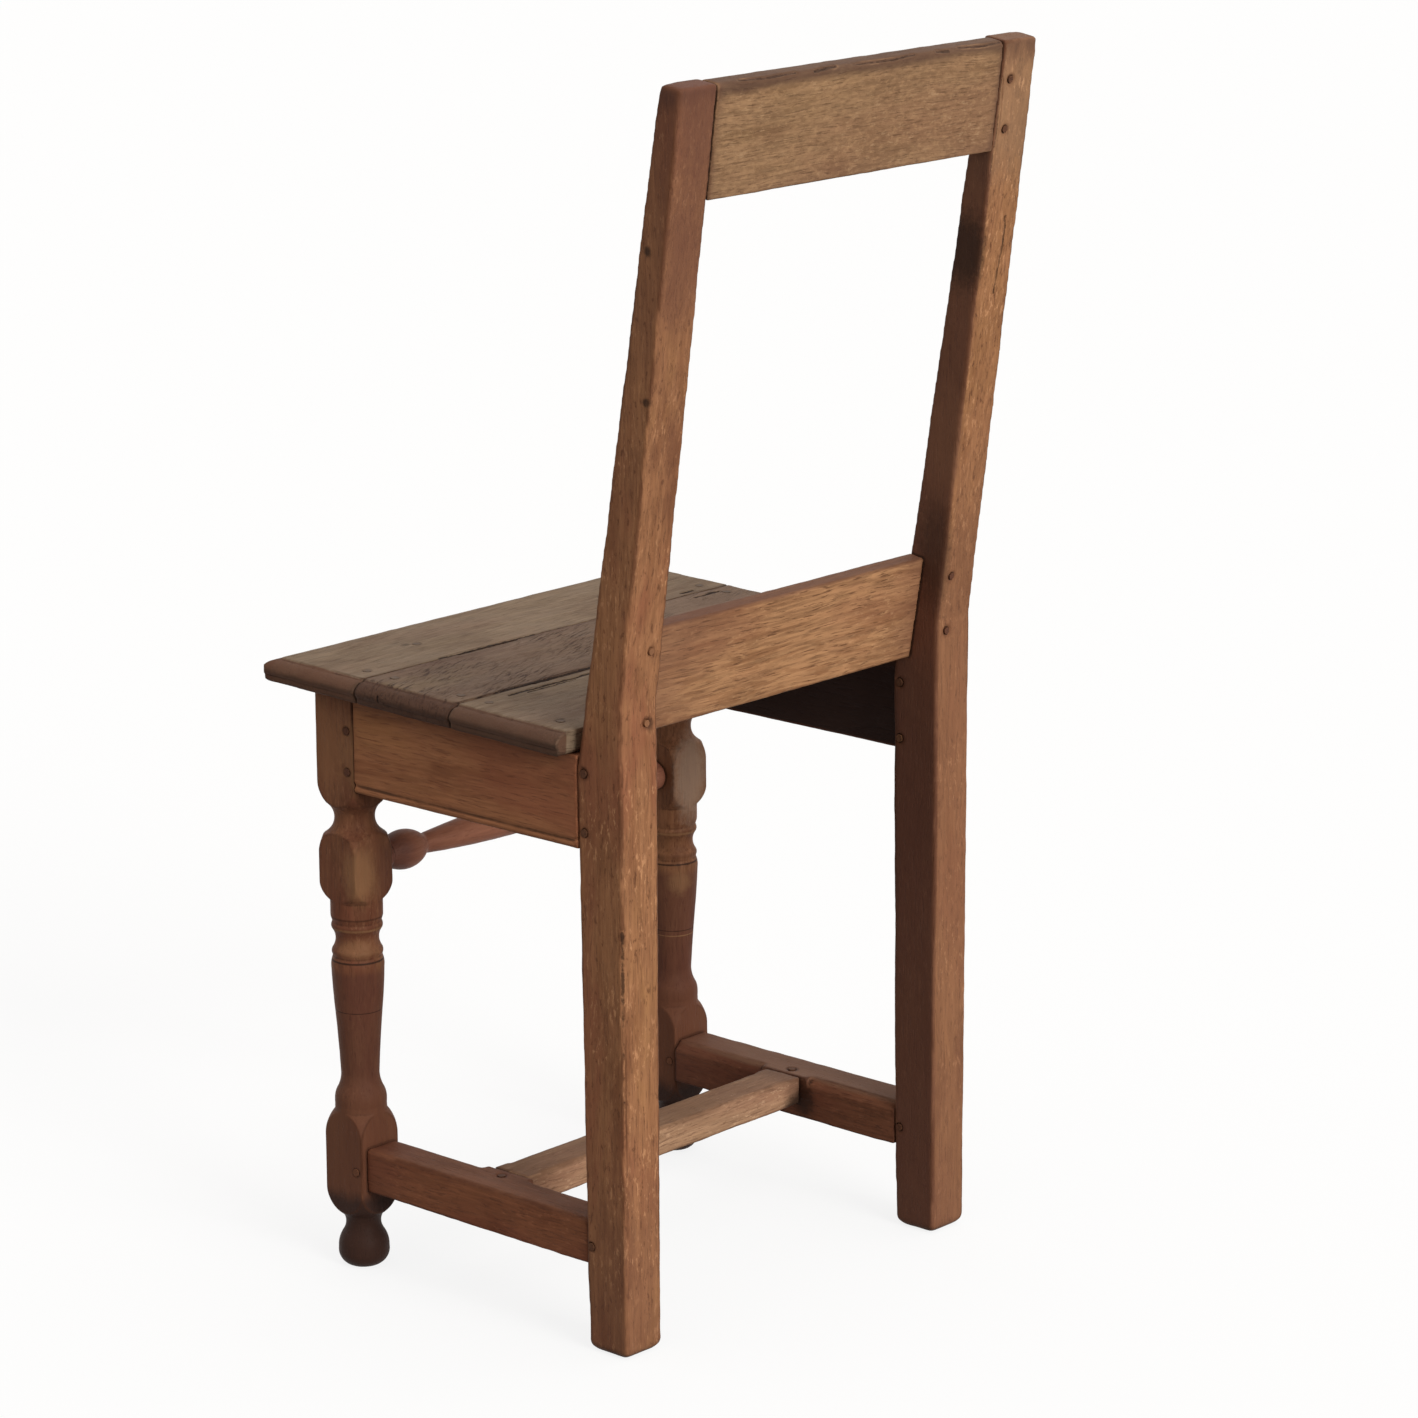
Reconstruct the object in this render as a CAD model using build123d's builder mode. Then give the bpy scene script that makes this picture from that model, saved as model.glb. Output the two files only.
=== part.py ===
from build123d import *
from math import atan2, cos, hypot, radians, sin
import os

# A joined oak side chair: an open, raked back, a plank seat with a moulded edge,
# turned front legs, a turned front stretcher and plain stretchers set in an H.
# All frame joints are mortise and tenon, pinned with pegs.
#
# Millimetres. +Z up, the chair faces -Y, and +X is the left hand of a person
# sitting in it. The origin is on the floor, under the centre of the whole chair.

# ---------------------------------------------------------------- sizes
# The frame on the floor
frame_depth = 302.8  # back of the rear feet to the front of the front legs
back_opening = 303.0  # between the rear posts
front_opening = 305.6  # between the blocks of the front legs
leg_block = 38.7  # the square stuff that the front legs are turned from

# Rear posts, sawn to a knee: upright below the seat, raked above it
post_height = 910.0
post_lean = 58.5  # how far the tops stand behind the feet
post_knee_drop = 32.4  # from the seat's front edge down to the knee in front
post_knee_step = 48.0  # the knee behind is this much higher
post_heel = 62.0  # the feet are pared back in front below this
post_depth_foot = 36.4
post_depth_heel = 38.2
post_depth_knee = 42.0
post_depth_top = 19.6
post_width_foot = 37.3
post_width_knee = 38.5
post_width_top = 38.0
foot_wear = 4.0  # lost from the lower edges of the feet

# Back rails
crest_width = 80.3
crest_thickness = 18.0
crest_round = 4.0
lower_rail_rise = 19.1  # above the front knee, along the rake
lower_rail_width = 78.7
lower_rail_thickness = 14.0

# Seat
seat_height = 463.4  # top of the seat at its front edge
seat_fall = 1.27  # degrees, down towards the back
seat_thickness = 18.0
seat_width = 414.4
seat_overhang = 40.3  # past the front legs
seat_back_gap = 3.0
front_board_width = 97.2
middle_board_width = 95.0
board_gap = 0.8
seat_edge_ease = 2.0
seat_back_chamfer = 3.0
moulding_reach = 11.0
moulding_fillet = 1.8
moulding_roll = 6.7
moulding_underside = 3.4  # the roll turns back under itself over this height
moulding_setback = 2.2  # the square below stands this far behind the roll
seat_corner_round = 10.0  # in plan, struck from a little outside the edges
seat_corner_margin = 1.0

# Seat rails
seat_rail_drop = 92.3  # from the seat's front edge to the rails' lower edges
side_rail_thickness = 24.0
side_rail_inset = 0.5  # behind the outer faces of the legs
rail_bead = 6.5
rail_quirk = 1.3
front_rail_thickness = 22.0
front_rail_inset = 3.0

# Stretchers
side_stretcher_bottom = 64.0
side_stretcher_height = 33.4
side_stretcher_width = 35.6
side_stretcher_inset = 4.9
stretcher_chamfer = 7.0
stretcher_chamfer_stop = 6.0  # either side of the cross stretcher
stretcher_ease = 3.0
cross_stretcher_setback = 114.8  # from the front legs to its middle
cross_stretcher_width = 34.5
cross_stretcher_height = 22.0
cross_chamfer = 2.5
cross_chamfer_stop = 14.0
front_stretcher_drop = 60.1  # from the seat rails' lower edges to its axis
stretcher_belly = 13.0
stretcher_waist = 8.0
stretcher_bulb = 15.0
stretcher_collar = 11.5
belly_end = 100.0
bulb_start = 106.0
bulb_middle = 122.0
bulb_end = 141.0
collar_start = 144.0

# Turning of the front legs: radii, and heights along each leg
lathe_corner_radius = 26.9  # the lathe just touches the blocks' corners
foot_tip_radius = 11.5
foot_ball_radius = 19.1
foot_ball_height = 13.0
ankle_radius = 13.2
ankle_height = 34.0
lower_block_reveal = 1.0  # block seen below the side stretchers
lower_block_height = 40.0
cup_radius = 19.4
cup_shoulder = 18.4
cup_height = 9.6
waist_radius = 14.3
waist_rise = 19.0
vase_radius = 19.7
vase_crown = 10.0
bead_radius = 19.2
bead_height = 5.8
quirk_radius = 18.1
cove_radius = 16.1
cove_height = 14.0
collar_radius = 19.5
collar_height = 12.5
collar_shoulder = 18.5
middle_block_height = 19.0
middle_block_drop = 8.0  # below the axis of the front stretcher
neck_radius = 15.0
neck_shoulder_radius = 23.2
neck_shoulder = 12.0
upper_block_shoulder = 15.0
upper_block_rise = 2.9  # above the lower edges of the side rails
ring_width = 0.9  # scribed rings

# Joinery
tenon_play = 0.1  # round every tenon
tenon_thickness = 8.0
tenon_shoulder = 6.0  # above and below a tenon
thin_tenon = 6.0
post_tenon_length = 24.0
leg_tenon_length = 26.0
cross_tenon_length = 20.0
crest_haunch = 18.0
round_tenon_radius = 8.0
peg_radius = 2.9
back_peg_radius = 2.5  # the slighter pegs of the back rails
peg_play = 0.05
peg_proud = 0.2
peg_setback = 6.4  # from a joint's shoulder to the middle of its pegs
low_peg_setback = 4.5
back_peg_setback = 11.5
crest_peg_low = 9.0  # inside the edges of the crest rail's tenon
crest_peg_high = 11.0
lower_peg_left_low = 33.0  # above the knee, bored by hand and not quite level
lower_peg_left_high = 85.0
lower_peg_right_low = 39.0
lower_peg_right_high = 81.0
rail_front_peg_low = 9.0  # inside the edges of the seat rails' tenons
rail_front_peg_high = 17.0
rail_back_peg_inset = 7.0
front_rail_peg_low = 22.0
front_rail_peg_high = 7.5
low_peg_drop = 2.0
cross_peg_depth = 26.0
nail_head_radius = 3.2
nail_head_height = 1.2
nail_shank = 3.0
nail_length = 42.0
nail_to_joint = 14.0
nail_to_back = 22.0
front_nail_spacing = 200.0
arris = 1.6  # hand-eased edges

# ---------------------------------------------------------------- positions that follow
# Heights that hang from the seat
side_rail_bottom = seat_height - seat_rail_drop
post_front_knee = seat_height - post_knee_drop
post_back_knee = post_front_knee + post_knee_step
front_stretcher_height = side_rail_bottom - front_stretcher_drop

# The raked back faces turn back at the knee by this angle
rake = atan2(post_lean, post_height - post_back_knee)
rake_length = hypot(post_lean, post_height - post_back_knee)
fall = radians(seat_fall)
top_corner_loss = arris * (cos(rake) + sin(rake) - 1)  # by the rounding behind
overall_depth = seat_overhang + frame_depth + post_lean - top_corner_loss
back_y = overall_depth / 2 - post_lean + top_corner_loss
front_y = back_y - frame_depth
leg_back_y = front_y + leg_block
leg_y = front_y + leg_block / 2
knee_y = back_y - post_depth_knee
heel_y = back_y - post_depth_heel
post_inner = back_opening / 2
leg_inner = front_opening / 2
leg_outer = leg_inner + leg_block
leg_x = leg_inner + leg_block / 2
reach = seat_width  # more than the half width of anything

# The raked faces of the posts, each with +Y up the rake and +Z out of the wood
post_top_y = back_y + post_lean - post_depth_top * cos(rake)
post_top_z = post_height + post_depth_top * sin(rake)
front_rake = atan2(post_top_y - knee_y, post_top_z - post_front_knee)
back_face = Plane(
    origin=(0, back_y, post_back_knee),
    x_dir=(-1, 0, 0),
    z_dir=(0, cos(rake), -sin(rake)),
)
front_face = Plane(
    origin=(0, knee_y, post_front_knee),
    x_dir=(1, 0, 0),
    z_dir=(0, -cos(front_rake), sin(front_rake)),
)

# The top of the seat, with +Y running down towards the back
seat_arris = seat_width / 2 - moulding_reach
seat_front_y = (
    front_y
    - seat_overhang
    + moulding_reach * cos(fall)
    + (moulding_fillet + moulding_roll) * sin(fall)
)
seat_depth = (knee_y - seat_back_gap - seat_front_y) / cos(fall)
seat_top = Plane(
    origin=(0, seat_front_y, seat_height),
    x_dir=(1, 0, 0),
    z_dir=(0, sin(fall), cos(fall)),
)
seat_underside = seat_top.offset(-seat_thickness)


def span(middle, size):
    """The two ends of a length about its middle."""
    return (middle - size / 2, middle + size / 2)


def block(x, y, z, mode=Mode.ADD, play=0.0, frame=Plane.XY):
    """A box between two ends along each axis of a frame, with play all round."""
    with Locations(frame):
        with Locations(((x[0] + x[1]) / 2, (y[0] + y[1]) / 2, (z[0] + z[1]) / 2)):
            Box(
                x[1] - x[0] + 2 * play,
                y[1] - y[0] + 2 * play,
                z[1] - z[0] + 2 * play,
                mode=mode,
            )


def rods(planes, radius, start, end, mode=Mode.ADD):
    """Round rods along the Z of each plane, from one distance to another."""
    with Locations(*planes):
        with Locations((0, 0, (start + end) / 2)):
            Cylinder(radius, end - start, mode=mode)


def ease(edges, size):
    """Rounds over some edges."""
    fillet(edges, radius=size)


# ---------------------------------------------------------------- tenons
# Each is one box. A rail carries it, and its mortise is the same box with play.
side_rail_outer = leg_outer - side_rail_inset
side_rail_inner = side_rail_outer - side_rail_thickness
rail_tenon_x = span(side_rail_outer - side_rail_thickness / 2 + 2, tenon_thickness)
rail_tenon_z = (side_rail_bottom + tenon_shoulder, post_front_knee + 3)
side_rail_tenon = (
    rail_tenon_x,
    (leg_back_y - leg_tenon_length, knee_y + post_tenon_length),
    rail_tenon_z,
)

front_rail_y = (front_y + front_rail_inset, front_y + front_rail_inset + front_rail_thickness)
front_rail_tenon = (
    (-leg_inner - cross_tenon_length, leg_inner + cross_tenon_length),
    span(front_y + front_rail_inset + front_rail_thickness / 2 - 2, tenon_thickness),
    rail_tenon_z,
)

side_stretcher_outer = leg_outer - side_stretcher_inset
side_stretcher_inner = side_stretcher_outer - side_stretcher_width
side_stretcher_top = side_stretcher_bottom + side_stretcher_height
side_stretcher_tenon = (
    span(side_stretcher_outer - side_stretcher_width / 2, tenon_thickness),
    (leg_back_y - leg_tenon_length, heel_y + post_tenon_length),
    (side_stretcher_bottom + tenon_shoulder, side_stretcher_top - tenon_shoulder),
)

cross_y = leg_back_y + cross_stretcher_setback
cross_bottom = side_stretcher_top - cross_stretcher_height
cross_tenon = (
    (-side_stretcher_inner - cross_tenon_length, side_stretcher_inner + cross_tenon_length),
    span(cross_y, cross_stretcher_width - 2 * tenon_shoulder),
    (cross_bottom + tenon_shoulder, cross_bottom + tenon_shoulder + tenon_thickness),
)

crest_tenon = (
    (-post_inner - post_tenon_length, post_inner + post_tenon_length),
    (rake_length - crest_width + tenon_shoulder, rake_length - crest_haunch),
    span(-crest_thickness / 2, thin_tenon),
)
lower_rail_tenon = (
    (-post_inner - post_tenon_length, post_inner + post_tenon_length),
    (lower_rail_rise + tenon_shoulder, lower_rail_rise + lower_rail_width - tenon_shoulder),
    span(-lower_rail_thickness / 2, thin_tenon),
)

# ---------------------------------------------------------------- pegs and nails
# Each is placed by a plane whose +Z runs along it. Pegs are listed for the left side.
peg_hole = peg_radius + peg_play
back_peg_hole = back_peg_radius + peg_play
back_peg_x = post_inner + back_peg_setback

# The crest rail is pegged in the right post alone
crest_pegs = [
    back_face * Location((back_peg_x, crest_tenon[1][0] + crest_peg_low, 0), (180, 0, 0)),
    back_face * Location((back_peg_x, crest_tenon[1][1] - crest_peg_high, 0), (180, 0, 0)),
]


def level_back_pegs(x, low, high):
    """Two pegs bored level through a post from its front."""
    return [
        Plane(origin=(x, knee_y, post_front_knee + low), z_dir=(0, 1, 0)),
        Plane(origin=(x, knee_y, post_front_knee + high), z_dir=(0, 1, 0)),
    ]


lower_rail_pegs_left = level_back_pegs(back_peg_x, lower_peg_left_low, lower_peg_left_high)
lower_rail_pegs_right = level_back_pegs(-back_peg_x, lower_peg_right_low, lower_peg_right_high)
rail_front_y = leg_back_y - peg_setback
rail_front_pegs = [
    Plane((leg_inner, rail_front_y, rail_tenon_z[0] + rail_front_peg_low), z_dir=(1, 0, 0)),
    Plane((leg_inner, rail_front_y, rail_tenon_z[1] - rail_front_peg_high), z_dir=(1, 0, 0)),
]
rail_back_y = knee_y + peg_setback
rail_back_pegs = [
    Plane((post_inner, rail_back_y, rail_tenon_z[0] + rail_back_peg_inset), z_dir=(1, 0, 0)),
    Plane((post_inner, rail_back_y, rail_tenon_z[1] - rail_back_peg_inset), z_dir=(1, 0, 0)),
]
front_peg_x = leg_inner + peg_setback
front_rail_pegs_left = [
    Plane((front_peg_x, front_y, rail_tenon_z[0] + front_rail_peg_low), z_dir=(0, 1, 0)),
    Plane((front_peg_x, front_y, rail_tenon_z[1] - front_rail_peg_high), z_dir=(0, 1, 0)),
]
low_peg_z = (side_stretcher_bottom + side_stretcher_top) / 2 - low_peg_drop
stretcher_front_peg = Plane((leg_inner, rail_front_y, low_peg_z), z_dir=(1, 0, 0))
stretcher_back_peg = Plane((post_inner, heel_y + low_peg_setback, low_peg_z), z_dir=(1, 0, 0))
cross_peg_x = side_stretcher_inner + cross_tenon_length / 2
cross_pegs_both = [
    Plane((cross_peg_x, cross_y, side_stretcher_top), z_dir=(0, 0, -1)),
    Plane((-cross_peg_x, cross_y, side_stretcher_top), z_dir=(0, 0, -1)),
]

# The joints between the boards, square to the seat and facing the back
seat_joint_front = Plane(
    seat_top.location * Pos(0, front_board_width - moulding_reach, 0) * Rot(-90, 0, 0)
)
seat_joint_back = seat_joint_front.offset(middle_board_width)
front_board_back = front_board_width - moulding_reach
middle_board_back = front_board_back + middle_board_width
nail_x = side_rail_outer - side_rail_thickness / 2
nail_line = (front_rail_y[0] + front_rail_y[1]) / 2 - seat_front_y
seat_nail_places = []
for back in (
    front_board_back - nail_to_joint,
    front_board_back + nail_to_joint,
    middle_board_back - nail_to_joint,
    middle_board_back + nail_to_joint,
    seat_depth - nail_to_back,
):
    seat_nail_places.append(seat_top * Location((nail_x, back, 0)))
    seat_nail_places.append(seat_top * Location((-nail_x, back, 0)))
seat_nail_places.append(seat_top * Location((front_nail_spacing / 2, nail_line, 0)))
seat_nail_places.append(seat_top * Location((-front_nail_spacing / 2, nail_line, 0)))


def nails(mode=Mode.ADD, play=0.0):
    """Forged nails, driven until their heads are level with the seat."""
    with Locations(*seat_nail_places):
        with Locations((0, 0, -nail_length / 2)):
            Box(nail_shank + 2 * play, nail_shank + 2 * play, nail_length + play, mode=mode)
        with Locations((0, 0, -nail_head_height / 2)):
            Cylinder(nail_head_radius + play, nail_head_height, mode=mode)


# ---------------------------------------------------------------- rear posts
with BuildSketch(Plane.YZ) as post_side:
    with BuildLine():
        Polyline(
            (back_y, 0),
            (back_y, post_back_knee),
            (back_y + post_lean, post_height),
            (post_top_y, post_top_z),
            (knee_y, post_front_knee),
            (heel_y, post_heel),
            (back_y - post_depth_foot, 0),
            close=True,
        )
    make_face()

with BuildSketch(Plane.XZ) as post_front:
    with BuildLine():
        Polyline(
            (post_inner, 0),
            (post_inner + post_width_foot, 0),
            (post_inner + post_width_knee, post_front_knee),
            (post_inner + post_width_top, post_height),
            (post_inner + post_width_top, post_height + post_depth_top),
            (post_inner, post_height + post_depth_top),
            close=True,
        )
    make_face()

# The side view of the posts, right across: what stands against them is scribed to it
with BuildPart() as post_scribe:
    extrude(post_side.sketch, amount=reach, both=True)

# A post stood out all round by as much as its pegs are
with BuildPart() as post_with_pegs:
    extrude(offset(post_side.sketch, amount=peg_proud, mode=Mode.PRIVATE), amount=reach)
    extrude(
        offset(post_front.sketch, amount=peg_proud, mode=Mode.PRIVATE),
        amount=overall_depth,
        both=True,
        mode=Mode.INTERSECT,
    )

with BuildPart() as post_blank:
    extrude(post_side.sketch, amount=reach)
    extrude(post_front.sketch, amount=overall_depth, both=True, mode=Mode.INTERSECT)
    long_edges = post_blank.edges().filter_by(lambda edge: edge.length > post_heel * 0.9)
    top_edges = post_blank.faces().sort_by(Axis.Z)[-1].edges()
    foot_edges = post_blank.faces().sort_by(Axis.Z)[0].edges()
    ease(long_edges + top_edges + foot_edges, arris)
    # The lower edges of the foot, worn off by the floor
    foot_cut = foot_wear * 2**0.5
    for foot_x in (post_inner, post_inner + post_width_foot):
        with Locations((foot_x, back_y, 0)):
            Box(foot_cut, leg_block * 3, foot_cut, rotation=(0, 45, 0), mode=Mode.SUBTRACT)
    for foot_y in (back_y, back_y - post_depth_foot):
        with Locations((post_inner, foot_y, 0)):
            Box(leg_block * 3, foot_cut, foot_cut, rotation=(45, 0, 0), mode=Mode.SUBTRACT)
    block(*crest_tenon, mode=Mode.SUBTRACT, play=tenon_play, frame=back_face)
    block(*lower_rail_tenon, mode=Mode.SUBTRACT, play=tenon_play, frame=front_face)
    block(*side_rail_tenon, mode=Mode.SUBTRACT, play=tenon_play)
    block(*side_stretcher_tenon, mode=Mode.SUBTRACT, play=tenon_play)
    rods(rail_back_pegs, peg_hole, -leg_block, 2 * leg_block, mode=Mode.SUBTRACT)
    rods([stretcher_back_peg], peg_hole, -leg_block, 2 * leg_block, mode=Mode.SUBTRACT)

with BuildPart() as rear_post_left:
    add(post_blank.part)
    rods(lower_rail_pegs_left, back_peg_hole, -leg_block, 2 * leg_block, mode=Mode.SUBTRACT)

with BuildPart() as rear_post_right:
    mirror(post_blank.part, about=Plane.YZ)
    rods(lower_rail_pegs_right, back_peg_hole, -leg_block, 2 * leg_block, mode=Mode.SUBTRACT)
    rods(crest_pegs, back_peg_hole, -post_depth_knee, post_depth_knee, mode=Mode.SUBTRACT)

# ---------------------------------------------------------------- front legs
lower_block_bottom = side_stretcher_bottom - lower_block_reveal
lower_block_top = lower_block_bottom + lower_block_height
cup_bottom = lower_block_top + cup_shoulder
cup_top = cup_bottom + cup_height
waist_z = cup_top + waist_rise
middle_block_bottom = front_stretcher_height - middle_block_drop
middle_block_top = middle_block_bottom + middle_block_height
collar_top = middle_block_bottom - collar_shoulder
collar_bottom = collar_top - collar_height
upper_bead_top = collar_bottom - 4.5
upper_bead_bottom = upper_bead_top - bead_height
lower_bead_top = upper_bead_bottom - cove_height
lower_bead_bottom = lower_bead_top - bead_height
vase_z = lower_bead_bottom - vase_crown
vase_length = vase_z - waist_z
neck_top = middle_block_top + neck_shoulder
upper_block_bottom = side_rail_bottom + upper_block_rise
upper_curve = upper_block_bottom - upper_block_shoulder

with BuildSketch(Plane((leg_x, leg_y, 0), x_dir=(1, 0, 0), z_dir=(0, -1, 0))) as leg_turning:
    with BuildLine():
        Line((0, 0), (foot_tip_radius, 0))
        # Ball foot and ankle
        ThreePointArc(
            (foot_tip_radius, 0),
            (foot_ball_radius - 1.9, foot_ball_height * 0.35),
            (foot_ball_radius, foot_ball_height),
        )
        ThreePointArc(
            (foot_ball_radius, foot_ball_height),
            (foot_ball_radius - 0.9, foot_ball_height + 7.5),
            (ankle_radius + 2.1, ankle_height - 7.5),
        )
        ThreePointArc(
            (ankle_radius + 2.1, ankle_height - 7.5),
            (ankle_radius, ankle_height),
            (ankle_radius + 2.1, ankle_height + 6.3),
        )
        ThreePointArc(
            (ankle_radius + 2.1, ankle_height + 6.3),
            (lathe_corner_radius - 3.2, lower_block_bottom - 13.7),
            (lathe_corner_radius, lower_block_bottom),
        )
        # Lower block, its shoulder, and the cup above it
        Line((lathe_corner_radius, lower_block_bottom), (lathe_corner_radius, lower_block_top))
        ThreePointArc(
            (lathe_corner_radius, lower_block_top),
            (lathe_corner_radius - 1.5, lower_block_top + 8.5),
            (cup_radius + 0.5, cup_bottom),
        )
        Line((cup_radius + 0.5, cup_bottom), (cup_radius, cup_bottom))
        Line((cup_radius, cup_bottom), (cup_radius, cup_top))
        # Waist and vase
        ThreePointArc(
            (cup_radius, cup_top),
            (cup_radius - 0.9, cup_top + 5),
            (waist_radius + 2.4, cup_top + 8.7),
        )
        ThreePointArc(
            (waist_radius + 2.4, cup_top + 8.7),
            (waist_radius + 0.6, waist_z - 5),
            (waist_radius, waist_z),
        )
        ThreePointArc(
            (waist_radius, waist_z),
            (waist_radius + 1.4, waist_z + 0.3 * vase_length),
            (vase_radius - 2.1, waist_z + 0.6 * vase_length),
        )
        ThreePointArc(
            (vase_radius - 2.1, waist_z + 0.6 * vase_length),
            (vase_radius - 0.5, waist_z + 0.85 * vase_length),
            (vase_radius, vase_z),
        )
        ThreePointArc(
            (vase_radius, vase_z),
            (vase_radius - 0.2, vase_z + 6),
            (quirk_radius, lower_bead_bottom),
        )
        # Two beads with a cove between them
        ThreePointArc(
            (quirk_radius, lower_bead_bottom),
            (bead_radius, lower_bead_bottom + bead_height / 2),
            (quirk_radius, lower_bead_top),
        )
        ThreePointArc(
            (quirk_radius, lower_bead_top),
            (cove_radius, lower_bead_top + cove_height / 2),
            (quirk_radius, upper_bead_bottom),
        )
        ThreePointArc(
            (quirk_radius, upper_bead_bottom),
            (bead_radius, upper_bead_bottom + bead_height / 2),
            (quirk_radius, upper_bead_top),
        )
        Line((quirk_radius, upper_bead_top), (collar_radius, collar_bottom))
        Line((collar_radius, collar_bottom), (collar_radius, collar_top))
        # Middle block between its two shoulders
        ThreePointArc(
            (collar_radius, collar_top),
            (collar_radius + 5.5, collar_top + 6.5),
            (lathe_corner_radius, middle_block_bottom),
        )
        Line((lathe_corner_radius, middle_block_bottom), (lathe_corner_radius, middle_block_top))
        ThreePointArc(
            (lathe_corner_radius, middle_block_top),
            (lathe_corner_radius - 1.1, middle_block_top + 5),
            (neck_shoulder_radius, neck_top),
        )
        # Neck, and the upper block
        ThreePointArc(
            (neck_shoulder_radius, neck_top),
            (neck_radius, (neck_top + upper_curve) / 2),
            (neck_shoulder_radius - 2, upper_curve),
        )
        ThreePointArc(
            (neck_shoulder_radius - 2, upper_curve),
            (lathe_corner_radius - 1.9, upper_curve + 6.5),
            (lathe_corner_radius, upper_block_bottom),
        )
        Line((lathe_corner_radius, upper_block_bottom), (lathe_corner_radius, seat_height))
        Line((lathe_corner_radius, seat_height), (0, seat_height))
        Line((0, seat_height), (0, 0))
    make_face()
    # Scribed rings on the cup and the shoulder over the middle block
    cup_ring = (cup_radius, cup_bottom + cup_height / 2)
    shoulder_ring = (neck_shoulder_radius + 2, neck_top - 4.5)
    with Locations(cup_ring, shoulder_ring):
        Rectangle(ring_width, ring_width, rotation=45, mode=Mode.SUBTRACT)

with BuildPart() as front_leg_left:
    revolve(leg_turning.sketch, axis=Axis((leg_x, leg_y, 0), (0, 0, 1)))
    block((leg_inner, leg_outer), (front_y, leg_back_y), (0, seat_height), mode=Mode.INTERSECT)
    split(bisect_by=seat_underside, keep=Keep.BOTTOM)
    block(*side_rail_tenon, mode=Mode.SUBTRACT, play=tenon_play)
    block(*front_rail_tenon, mode=Mode.SUBTRACT, play=tenon_play)
    block(*side_stretcher_tenon, mode=Mode.SUBTRACT, play=tenon_play)
    stretcher_socket = Plane((leg_inner, leg_y, front_stretcher_height), z_dir=(1, 0, 0))
    rods(
        [stretcher_socket],
        round_tenon_radius + tenon_play,
        -leg_block,
        cross_tenon_length + tenon_play,
        mode=Mode.SUBTRACT,
    )
    rods(rail_front_pegs, peg_hole, -leg_block, 2 * leg_block, mode=Mode.SUBTRACT)
    rods([stretcher_front_peg], peg_hole, -leg_block, 2 * leg_block, mode=Mode.SUBTRACT)
    rods(front_rail_pegs_left, peg_hole, -leg_block, 2 * leg_block, mode=Mode.SUBTRACT)

with BuildPart() as front_leg_right:
    mirror(front_leg_left.part, about=Plane.YZ)

# ---------------------------------------------------------------- back rails
with BuildPart() as crest_rail:
    block(
        (-post_inner, post_inner),
        (rake_length - crest_width, rake_length),
        (-crest_thickness, 0),
        frame=back_face,
    )
    long_edges = crest_rail.edges().filter_by(Axis.X)
    ease(long_edges.group_by(Axis.Z)[-1] + long_edges.group_by(Axis.Z)[-2], crest_round)
    block(*crest_tenon, frame=back_face)
    rods(crest_pegs, back_peg_hole, -post_depth_knee, post_depth_knee, mode=Mode.SUBTRACT)

with BuildPart() as lower_back_rail:
    block(
        (-post_inner, post_inner),
        (lower_rail_rise, lower_rail_rise + lower_rail_width),
        (-lower_rail_thickness, 0),
        frame=front_face,
    )
    ease(lower_back_rail.edges().filter_by(Axis.X), arris)
    block(*lower_rail_tenon, frame=front_face)
    rods(lower_rail_pegs_left, back_peg_hole, -leg_block, 2 * leg_block, mode=Mode.SUBTRACT)
    rods(lower_rail_pegs_right, back_peg_hole, -leg_block, 2 * leg_block, mode=Mode.SUBTRACT)

# ---------------------------------------------------------------- seat rails
with BuildPart() as side_rail_left:
    with BuildSketch(Plane.XZ.offset(-leg_back_y)):
        with Locations(((side_rail_inner + side_rail_outer) / 2, side_rail_bottom)):
            Rectangle(
                side_rail_thickness,
                seat_height - side_rail_bottom,
                align=(Align.CENTER, Align.MIN),
            )
        with Locations((side_rail_outer, side_rail_bottom)):
            Rectangle(
                rail_bead / 2,
                rail_bead + rail_quirk,
                align=(Align.MAX, Align.MIN),
                mode=Mode.SUBTRACT,
            )
        with Locations((side_rail_outer - rail_bead / 2, side_rail_bottom + rail_bead / 2)):
            Circle(rail_bead / 2)
    extrude(amount=-(back_y - leg_back_y))
    split(bisect_by=seat_underside, keep=Keep.BOTTOM)
    add(post_scribe.part, mode=Mode.SUBTRACT)
    block(*side_rail_tenon)
    rods(rail_front_pegs + rail_back_pegs, peg_hole, -leg_block, 2 * leg_block, mode=Mode.SUBTRACT)
    nails(mode=Mode.SUBTRACT, play=peg_play)

with BuildPart() as side_rail_right:
    mirror(side_rail_left.part, about=Plane.YZ)

with BuildPart() as front_rail:
    block((-leg_inner, leg_inner), front_rail_y, (side_rail_bottom, seat_height))
    split(bisect_by=seat_underside, keep=Keep.BOTTOM)
    ease(front_rail.faces().sort_by(Axis.Z)[0].edges().filter_by(Axis.X), arris)
    block(*front_rail_tenon)
    rods(front_rail_pegs_left, peg_hole, -leg_block, 2 * leg_block, mode=Mode.SUBTRACT)
    mirror(about=Plane.YZ, mode=Mode.INTERSECT)
    nails(mode=Mode.SUBTRACT, play=peg_play)

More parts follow.
